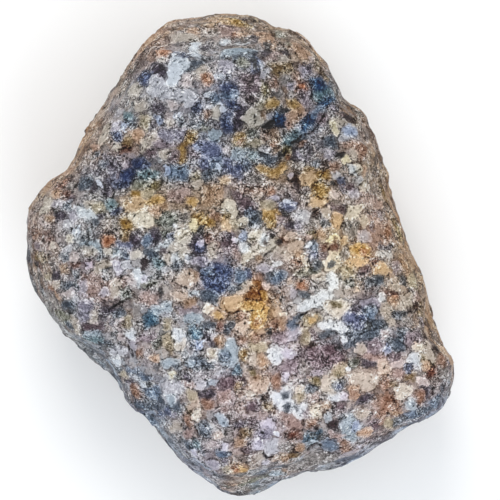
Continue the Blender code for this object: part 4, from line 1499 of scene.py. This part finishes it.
def spread(values, mesh, passes):
    """Values evened out between neighbouring points."""
    ends = np.empty(len(mesh.edges) * 2, dtype=np.int32)
    mesh.edges.foreach_get("vertices", ends)
    ends = ends.reshape(-1, 2)
    first = np.concatenate([ends[:, 0], ends[:, 1]])
    second = np.concatenate([ends[:, 1], ends[:, 0]])
    count = np.bincount(first, minlength=len(values))[:, None]
    for _ in range(passes):
        around = np.stack([np.bincount(first, values[second, channel], len(values))
                           for channel in range(3)], axis=1)
        values = (1.0 - VEIL_SHARE) * values + VEIL_SHARE * around / count
    return values


showing = mixture.copy()
for layer in range(LAYERS):
    inside = crystal_edge[layer] < 0
    showing[inside] = crystal_tone[layer, inside]
soft_tone = spread(showing, skin, VEIL_PASSES)
keep_colour("veil", soft_tone, np.ones(len(seen)))
print("mean tone of the veil:", soft_tone.mean(0).round(3))

# %% Store the tints and painted shade, the rind and the painted cool sheen
STEEP_BELOW = 0.55
STEEP_SPAN = 0.45
SHEEN_MIDDLE = 0.5
SHEEN_BY_Y = 1.1
SHEEN_BY_X = 0.25
SHEEN_FROM = 10 * MM
SHEEN_TO = 42 * MM

keep_colour("tint_and_shade", tint_and_shade, np.ones(len(seen)))
steep = ease((STEEP_BELOW - rest_normals[:, 2]) / STEEP_SPAN)
# Painted cool sheen: a bluish reflected light painted on steep faces that look towards the bottom of
# the view, high on the flank.
sheen_side = ease(SHEEN_MIDDLE - SHEEN_BY_Y * rest_normals[:, 1] - SHEEN_BY_X * rest_normals[:, 0])
sheen_side *= ease((rest_places[:, 2] - SHEEN_FROM) / (SHEEN_TO - SHEEN_FROM))
keep_field("steep", steep)
keep_field("warm_rind", steep * (1.0 - sheen_side))
keep_field("painted_cool_sheen", steep * sheen_side)
print(len(skin.attributes), "fields on the skin")

# %% [markdown]
# ## The granite paint
#
# The paint works from the stone outwards: first a mosaic of small broken grains, then
# the listed crystals layer by layer, then the soft stains, the weather's rind on the
# flanks, and last the fine grain with its seams, cracks and veins. Photographs could be
# wrapped round the stone instead, but they would smear on the flanks. Solid textures
# placed in millimetres run through the stone and look alike from every side.
#
# A paint is a net of nodes. A few helpers give each kind of node that is used here a
# short name, so that the steps below read as sums and mixtures.

# %% Tools for wiring a paint


class Wiring:
    """Adds nodes to a paint and joins them."""

    def __init__(self, paint):
        self.tree = paint.node_tree

    def add(self, kind, inputs=None, **settings):
        """One node. An input is a number, a colour or another node's output."""
        node = self.tree.nodes.new("ShaderNode" + kind)
        for name, value in settings.items():
            setattr(node, name, value)
        for name, value in (inputs or {}).items():
            self.join(value, node.inputs[name])
        return node

    def join(self, value, socket):
        """Set a socket, or link another node's output to it."""
        if isinstance(value, bpy.types.NodeSocket):
            self.tree.links.new(value, socket)
        else:
            socket.default_value = value

    def field(self, name):
        """A field of the skin."""
        return self.add("Attribute", attribute_name=name).outputs

    def count(self, step):
        """Print how many nodes there are after a step."""
        print(step + ":", len(self.tree.nodes), "nodes so far")


# %% Tools for numbers


class NumberWiring(Wiring):
    """Adds nodes that reckon with numbers."""

    def reckon(self, operation, first, second=0.0, third=0.0):
        """A sum of up to three numbers."""
        return self.add("Math", {0: first, 1: second, 2: third}, operation=operation).outputs[0]

    def plus(self, *numbers):
        """Some numbers added up."""
        total = numbers[0]
        for number in numbers[1:]:
            total = self.reckon("ADD", total, number)
        return total

    def times(self, first, second):
        """A product of two numbers."""
        return self.reckon("MULTIPLY", first, second)

    def line(self, slope, value, rise):
        """A value times a slope, plus a rise."""
        return self.reckon("MULTIPLY_ADD", value, slope, rise)

    def swing(self, value, size):
        """A value from 0 to 1, turned into a swing of that size about 0."""
        return self.line(size, value, -size / 2)

    def blend(self, share, first, second):
        """Two numbers mixed by a share from 0 to 1."""
        return self.add("Mix", {0: share, 2: first, 3: second}, data_type="FLOAT").outputs[0]

    def band(self, value, start, end, to_start=0.0, to_end=1.0):
        """A value's range stretched onto another range, and held at its ends."""
        node = self.add("MapRange", {"Value": value, "From Min": start, "From Max": end,
                                     "To Min": to_start, "To Max": to_end})
        return node.outputs["Result"]

    def near(self, value, middle, core, edge, strength):
        """A strength where a value is close to a middle, and 0 farther off."""
        gap = self.reckon("ABSOLUTE", self.reckon("SUBTRACT", value, middle))
        return self.band(gap, core, edge, strength, 0.0)


# %% Tools for colours and textures


class GraniteWiring(NumberWiring):
    """Adds nodes that mix colours and make textures."""

    def mix(self, share, first, second, blend="MIX"):
        """Two colours mixed by a share from 0 to 1."""
        node = self.add("Mix", {0: share, 6: first, 7: second}, data_type="RGBA", blend_type=blend)
        return node.outputs[2]

    def grey(self, colour):
        """How light a colour is."""
        return self.add("RGBToBW", {"Color": colour}).outputs[0]

    def vector(self, operation, first, second, third=(0.0, 0.0, 0.0)):
        """A sum of places or of colours, taken part by part."""
        return self.add("VectorMath", {0: first, 1: second, 2: third}, operation=operation).outputs[0]

    def scaled(self, value, scale):
        """A place or a colour times one number."""
        return self.add("VectorMath", {0: value, "Scale": scale}, operation="SCALE").outputs[0]

    def cloud(self, place, size, detail=2.0, twist=0.0):
        """Soft noise from about 0.2 to 0.8, with blots of a size in mm."""
        node = self.add("TexNoise", {"Vector": place, "Scale": 1.0 / size, "Detail": detail,
                                     "Distortion": twist})
        return node.outputs["Fac"]

    def grains(self, place, size):
        """Three random numbers from 0 to 1 for each broken grain of a size in mm."""
        node = self.add("TexVoronoi", {"Vector": place, "Scale": 1.0 / size})
        return self.add("SeparateColor", {"Color": node.outputs["Color"]}).outputs

    def choose(self, value, tones):
        """One of several tones, by a value from 0 to 1."""
        node = self.add("ValToRGB", {"Fac": value})
        node.color_ramp.interpolation = "CONSTANT"
        stops = node.color_ramp.elements
        while len(stops) < len(tones):
            stops.new(1.0)
        for number, tone in enumerate(tones):
            stops[number].position = number / len(tones)
            stops[number].color = (*linear_colour(TONES[tone]), 1.0)
        return node.outputs["Color"]


paint = bpy.data.materials.new("granite_paint")
paint.use_nodes = True
wiring = GraniteWiring(paint)
wiring.count("bare paint")

# %% [markdown]
# Every texture needs to know where on the stone it is. `place` is that in millimetres.
# `bent` is the same place pushed about a little at random, so that grains that are cut
# from it have ragged edges in place of ruled ones.

# %% Find the place
PUSH_SCALE = 0.8
PUSH = 2.4
place = wiring.scaled(wiring.add("TexCoord").outputs["Object"], 1.0 / MM)
push = wiring.add("TexNoise", {"Vector": place, "Scale": PUSH_SCALE, "Detail": 2.0}).outputs["Color"]
push = wiring.scaled(wiring.vector("SUBTRACT", push, (0.5, 0.5, 0.5)), PUSH)
bent = wiring.vector("ADD", place, push)
wiring.count("place")

# %% [markdown]
# ## The mosaic between the crystals
#
# Between the listed crystals lies the finer mixture, and the flanks and the underside
# have nothing else. Broken cells with a tone each are the quickest way to such a
# mosaic. On the steep flanks some larger cells stand in for the listed crystals. On the
# broad face the mixture's own tone, taken from the crystals around, tints the cells.

# %% Lay the mosaic of small grains
COARSE_GRAIN = 2.6
LARGE_GRAIN = 5.6
LARGE_FROM = (0.34, 0.36)
LARGE_ON_STEEP = (0.3, 0.6)
MIXTURE_ON_STEEP = (0.2, 0.8)
MIXTURE_ON_FACE = 0.5
MIXTURE_ON_FLANK = 0.15
SMOOTHEST_GRAIN = 0.55
ROUGHEST_GRAIN = 0.85
COARSE_TONES = ("mauve", "cream", "rose", "dusk", "stone", "clay", "plum", "blush", "clay", "mist",
                "tan", "slate", "brick", "ash", "peach", "plum")
LARGE_TONES = ("cream", "rose", "slate", "milk", "tan", "plum", "bone", "stone", "dusk", "clay",
               "snow", "navy", "umber", "blush", "plum", "shell")

coarse = wiring.grains(bent, COARSE_GRAIN)
steep_here = wiring.field("steep")["Fac"]
large = wiring.grains(bent, LARGE_GRAIN)
whole = wiring.times(wiring.band(large[1], *LARGE_FROM), wiring.band(steep_here, *LARGE_ON_STEEP))
colour = wiring.mix(whole, wiring.choose(coarse[0], COARSE_TONES), wiring.choose(large[0], LARGE_TONES))
mixed_in = wiring.band(steep_here, *MIXTURE_ON_STEEP, MIXTURE_ON_FACE, MIXTURE_ON_FLANK)
colour = wiring.mix(mixed_in, colour, wiring.field("mixture")["Color"])
roughness = wiring.band(coarse[2], 0.0, 1.0, SMOOTHEST_GRAIN, ROUGHEST_GRAIN)
wiring.count("mosaic")

# %% [markdown]
# ## The listed crystals
#
# Each layer holds a distance and a tone. Where the distance is below zero, the tone
# covers what is there. A painted mask would have soft edges, but a distance can be
# shifted by small broken grains first, which makes the edge crisp and ragged. The same
# distance gives a dark seam just outside of a crystal, a pale rim just inside, and how
# deep a point lies within.

# %% Lay the listed crystals over it
GROWTH = 1.2
JAG_GRAIN = 0.85
JAG = 2.4
FRAY_SIZE = 0.45
FRAY = 1.3
EDGE_BLUR = 0.25
SEAM_OUT = 0.7
RIM_IN = 0.8
LINE_CORE = 0.2
LINE_EDGE = 0.9

jags = wiring.grains(bent, JAG_GRAIN)
wobble = wiring.line(JAG, jags[0], -JAG / 2 - GROWTH)
wobble = wiring.plus(wobble, wiring.swing(wiring.cloud(place, FRAY_SIZE, 1.0), FRAY))
seam = 0.0
rim = 0.0
depth = 1.0
for layer in range(LAYERS):
    edge = wiring.plus(wiring.field(f"edge_{layer}")["Fac"], wobble)
    inside = wiring.band(edge, -EDGE_BLUR, EDGE_BLUR, 1.0, 0.0)
    tone = wiring.field(f"tone_{layer}")
    colour = wiring.mix(inside, colour, tone["Color"])
    roughness = wiring.blend(inside, roughness, tone["Alpha"])
    depth = wiring.blend(inside, depth, wiring.times(edge, -1.0))
    outline = wiring.near(edge, SEAM_OUT, LINE_CORE, LINE_EDGE, 1.0)
    seam = wiring.reckon("MAXIMUM", wiring.reckon("SUBTRACT", seam, inside), outline)
    outline = wiring.near(edge, -RIM_IN, LINE_CORE, LINE_EDGE, 1.0)
    rim = wiring.reckon("MAXIMUM", wiring.reckon("SUBTRACT", rim, inside), outline)
wiring.count("crystals")

# %% [markdown]
# ## Stains
#
# Iron and clay seep across the borders of the crystals, so hue changes softly where
# brightness changes crisply. The veil is the stone's own tone, blurred: it gives most
# of the hue, while the crystals keep their brightness. The broad tints, painted shade
# among them, lie over all of it.

# %% Let the hues run into each other
VEIL_HUE = 0.55
VEIL_TONE = 0.14
veil = wiring.field("veil")["Color"]
relit = wiring.scaled(veil, wiring.reckon("DIVIDE", wiring.grey(colour), wiring.grey(veil)))
colour = wiring.mix(VEIL_HUE, colour, relit)
colour = wiring.mix(VEIL_TONE, colour, veil)
# Multiply by the broad tints, which include the painted shade in the hollow under the upper lobe.
colour = wiring.mix(1.0, colour, wiring.field("tint_and_shade")["Color"], "MULTIPLY")
wiring.count("stains")

# %% [markdown]
# ## The weather's rind, and a painted cool sheen
#
# The flanks have weathered longer than the broken face. Most of them carry a thin brown
# skin of iron and lichen. The steep side that looks towards the bottom of the view
# carries a painted bluish sheen of reflected light in place of the rind, a tint with some
# cool grains. Both lie in patches, so their fields are broken up by a cloud, and where
# they lie they tint the minerals below and add a few small grains of their own.

# %% Lay the weather's rind and the painted cool sheen on the flanks
WARM_TINT = (0.90, 0.78, 0.64, 1.0)
SHEEN_TINT = (0.72, 0.84, 0.95, 1.0)
WARM_RIND = ("bronze", "tan", "olive", "clay", "brick", "umber", "buff", "clay")
SHEEN_TONES = ("slate", "steel", "mist", "teal", "dusk", "slate", "grey", "steel")
RIND_AND_SHEEN_GRAIN = 2.0
RIND_AND_SHEEN_PATCH = 5.0
PATCH_SWAY = 0.9
RIND_AND_SHEEN_FROM = (0.62, 1.05)
THICKEST = 0.85
RIND_AND_SHEEN_GRAIN_SHARE = 0.15

rind_and_sheen_grain = wiring.grains(bent, RIND_AND_SHEEN_GRAIN)[0]
rind_and_sheen_cloud = wiring.cloud(place, RIND_AND_SHEEN_PATCH, 3.0)
# The warm rind is a real brown crust; the cool one is a painted bluish sheen of reflected light.
for name, tint, tones in (("warm_rind", WARM_TINT, WARM_RIND), ("painted_cool_sheen", SHEEN_TINT, SHEEN_TONES)):
    reach = wiring.line(PATCH_SWAY, rind_and_sheen_cloud, wiring.field(name)["Fac"])
    reach = wiring.band(reach, *RIND_AND_SHEEN_FROM, 0.0, THICKEST)
    tinted = wiring.mix(1.0, colour, tint, "MULTIPLY")
    stained = wiring.mix(RIND_AND_SHEEN_GRAIN_SHARE, tinted, wiring.choose(rind_and_sheen_grain, tones))
    colour = wiring.mix(reach, colour, stained)
wiring.count("rind")

# %% [markdown]
# ## The fine grain
#
# The finest texture has no hue of its own. Cleavage streaks, chips, hairlines and specks
# only make a mineral lighter or darker, and to the eye they do it by the same amount on
# dark mica as on white feldspar. So they are added up as one number, and that number is
# added to the colour as the eye sees it, which is about its 2.2nd root.
#
# Minerals cleave along their own directions. So the streaks are noise that is squeezed
# along one direction and turned by another angle in each grain, and thin strokes follow
# two of its levels. Dark mica is busiest, and the middle of a pale crystal calmest.

# %% Streaks and strokes of cleavage
STREAK = (1 / 0.26, 1 / 0.85, 1 / 0.50)
STREAK_CELLS = ((3.2, 1.0), (1.9, 0.7))
STREAK_TWIST = 0.6
TURN = 2.8
LEAST_TURN = -0.27
SWING = 0.55
STROKE = 0.22
PALE_LEVEL = 0.53
DARK_LEVEL = 0.45
STROKE_CORE = 0.008
STROKE_EDGE = 0.035

streaks = 0.0
strokes = 0.0
for cell, size in STREAK_CELLS:
    turn = wiring.line(TURN, wiring.grains(bent, cell)[0], LEAST_TURN)
    turned = wiring.add("VectorRotate", {"Vector": place, "Angle": turn}, rotation_type="Z_AXIS")
    turned = turned.outputs[0]
    squeezed = wiring.vector("MULTIPLY", turned, [step / size for step in STREAK])
    streak = wiring.cloud(squeezed, 1.0, 2.0, STREAK_TWIST)
    streaks = wiring.plus(streaks, wiring.swing(streak, SWING))
    for level, shade in ((PALE_LEVEL, STROKE), (DARK_LEVEL, -STROKE)):
        strokes = wiring.plus(strokes, wiring.near(streak, level, STROKE_CORE, STROKE_EDGE, shade))
wiring.count("streaks and strokes")

# %% Speckle, by how busy each mineral is
FLAKE = (1.0, 0.42, 0.65)
SPECKLE_GRAIN = 0.28
SPECKLE = 0.34
DARK_TO_PALE = (0.10, 0.42)
BUSY_DARK = 1.35
BUSY_PALE = 0.32
BUSY_STEEP = 0.7
CALM_DEPTH = (0.5, 4.0)
CALM = 0.60

flaky = wiring.vector("MULTIPLY", turned, FLAKE)
speckle = wiring.swing(wiring.grains(flaky, SPECKLE_GRAIN)[0], SPECKLE)
greyness = wiring.grey(colour)
busy = wiring.band(greyness, *DARK_TO_PALE, BUSY_DARK, BUSY_PALE)
busy = wiring.times(busy, wiring.band(steep_here, 0.0, 1.0, 1.0, BUSY_STEEP))
busy = wiring.times(busy, wiring.band(depth, *CALM_DEPTH, 1.0, CALM))
grain = wiring.times(wiring.plus(streaks, speckle, strokes), busy)
wiring.count("speckle")

# %% Facets, shards and specks
FACET_GRAIN = 1.7
FACET = 0.18
SHARD_GRAIN = 0.5
SHARD = 0.24
SHARD_TO_PALE = (0.15, 0.45, 1.1, 0.5)
SPECK_GRAIN = 0.46
DARK_SPECK = (0.94, 0.945, 0.0, -0.32)
PALE_SPECK = (0.96, 0.965, 0.0, 0.22)

angular = wiring.swing(wiring.grains(bent, FACET_GRAIN)[1], FACET)
for shard in (jags[2], wiring.grains(bent, SHARD_GRAIN)[0]):
    angular = wiring.plus(angular, wiring.swing(shard, SHARD))
grain = wiring.plus(grain, wiring.times(angular, wiring.band(greyness, *SHARD_TO_PALE)))
specks = wiring.grains(flaky, SPECK_GRAIN)
specks = wiring.plus(wiring.band(specks[0], *DARK_SPECK), wiring.band(specks[1], *PALE_SPECK))
grain = wiring.plus(grain, specks)
wiring.count("facets and specks")

# %% Hairlines, and patches of clear and busy stone
ELSEWHERE = (31.0, 7.0, 3.0)
HAIRLINE_SIZE = 2.0
HAIRLINE_TWIST = 1.2
DARK_HAIRLINE = (0.508, 0.002, 0.012, -0.22)
PALE_HAIRLINE = (0.490, 0.002, 0.012, 0.15)
PATCH_SIZE = 5.0
PATCH_SPAN = (0.40, 0.60)
CLEAR = 0.45
BUSIEST = 1.65

rift = wiring.cloud(wiring.vector("ADD", place, ELSEWHERE), HAIRLINE_SIZE, 2.0, HAIRLINE_TWIST)
hairlines = wiring.plus(wiring.near(rift, *DARK_HAIRLINE), wiring.near(rift, *PALE_HAIRLINE))
patchy = wiring.band(wiring.cloud(place, PATCH_SIZE), *PATCH_SPAN, CLEAR, BUSIEST)
grain = wiring.times(wiring.plus(grain, hairlines), patchy)
wiring.count("hairlines and patches")

# %% Seams, rims, cracks, veins and the painted ledge highlight
SEAM_PATCH = 2.2
SEAM_HERE = (0.44, 0.56, 0.0, -0.26)
RIM_HERE = (0.42, 0.56, 0.16, 0.02)
LINE_PATCH = 1.6
LINE_HERE = (0.40, 0.50)
LINE_WOBBLE = 0.25
CRACK_SHADE = (0.1, 1.3, 0.45, 0.0)
VEIN_AND_LEDGE_LIGHT = (0.0, 1.0, 0.25, 0.0)
DARKEN = 0.142

seam_cloud = wiring.cloud(place, SEAM_PATCH, 1.0)
grain = wiring.plus(grain, wiring.times(seam, wiring.band(seam_cloud, *SEAM_HERE)))
grain = wiring.line(wiring.band(seam_cloud, *RIM_HERE), rim, wiring.reckon("SUBTRACT", grain, DARKEN))
line_here = wiring.band(wiring.cloud(place, LINE_PATCH), *LINE_HERE)
crack = wiring.line(LINE_WOBBLE, wobble, wiring.field("crack_edge")["Fac"])
crack = wiring.times(wiring.band(crack, *CRACK_SHADE), line_here)
# Pale veins, and a painted highlight along the lit ledge, lighten the grain here.
vein_and_ledge = wiring.line(LINE_WOBBLE, wobble, wiring.field("vein_and_ledge_edge")["Fac"])
vein_and_ledge = wiring.times(wiring.band(vein_and_ledge, *VEIN_AND_LEDGE_LIGHT), line_here)
grain = wiring.plus(grain, wiring.reckon("SUBTRACT", vein_and_ledge, crack))
wiring.count("seams and lines")

# %% Grain the colour
EYE = 2.2
FULLNESS = 0.98
CONTRAST = 1.12
DARKEST = (0.09, 0.08, 0.08)
PALEST = (0.90, 0.90, 0.90)

colour = wiring.add("HueSaturation", {"Color": colour, "Saturation": FULLNESS}).outputs[0]
shown = wiring.add("Gamma", {"Color": colour, "Gamma": 1 / EYE}).outputs[0]
shown = wiring.vector("MULTIPLY_ADD", shown, (CONTRAST, CONTRAST, CONTRAST), grain)
shown = wiring.vector("MINIMUM", wiring.vector("MAXIMUM", shown, DARKEST), PALEST)
colour = wiring.add("Gamma", {"Color": shown, "Gamma": EYE}).outputs[0]
wiring.count("grained colour")

# %% [markdown]
# ## Gloss and the finest relief
#
# What is smaller than a cell of the skin can't be a real shape, so it is left to a bump:
# the fine grain itself, with a soft unevenness. Broken stone has no polish, so its shine
# is set low and its roughness comes from the minerals.

# %% Gloss and bump
UNEVEN_SIZE = 0.7
UNEVEN = 1.2
BUMP = 0.35
BUMP_HEIGHT = 0.30 * MM
SHINE = 0.25

height = wiring.line(UNEVEN, wiring.cloud(place, UNEVEN_SIZE, 3.0), grain)
bump = wiring.add("Bump", {"Height": height, "Strength": BUMP, "Distance": BUMP_HEIGHT})
principled = paint.node_tree.nodes["Principled BSDF"]
wiring.join(colour, principled.inputs["Base Color"])
wiring.join(roughness, principled.inputs["Roughness"])
wiring.join(bump.outputs[0], principled.inputs["Normal"])
principled.inputs["Specular IOR Level"].default_value = SHINE
wiring.count("gloss and bump")

# %% [markdown]
# ## Put the skin in place
#
# The skin takes the place of the imported solid in pictures, and moves with it.

# %% Put the skin in place
skin.materials.clear()
skin.materials.append(paint)
stone = bpy.data.objects.new("granite_stone", skin)
bpy.context.scene.collection.objects.link(stone)
skin.shade_smooth()
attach(stone, "root")
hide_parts("granite_cobble")
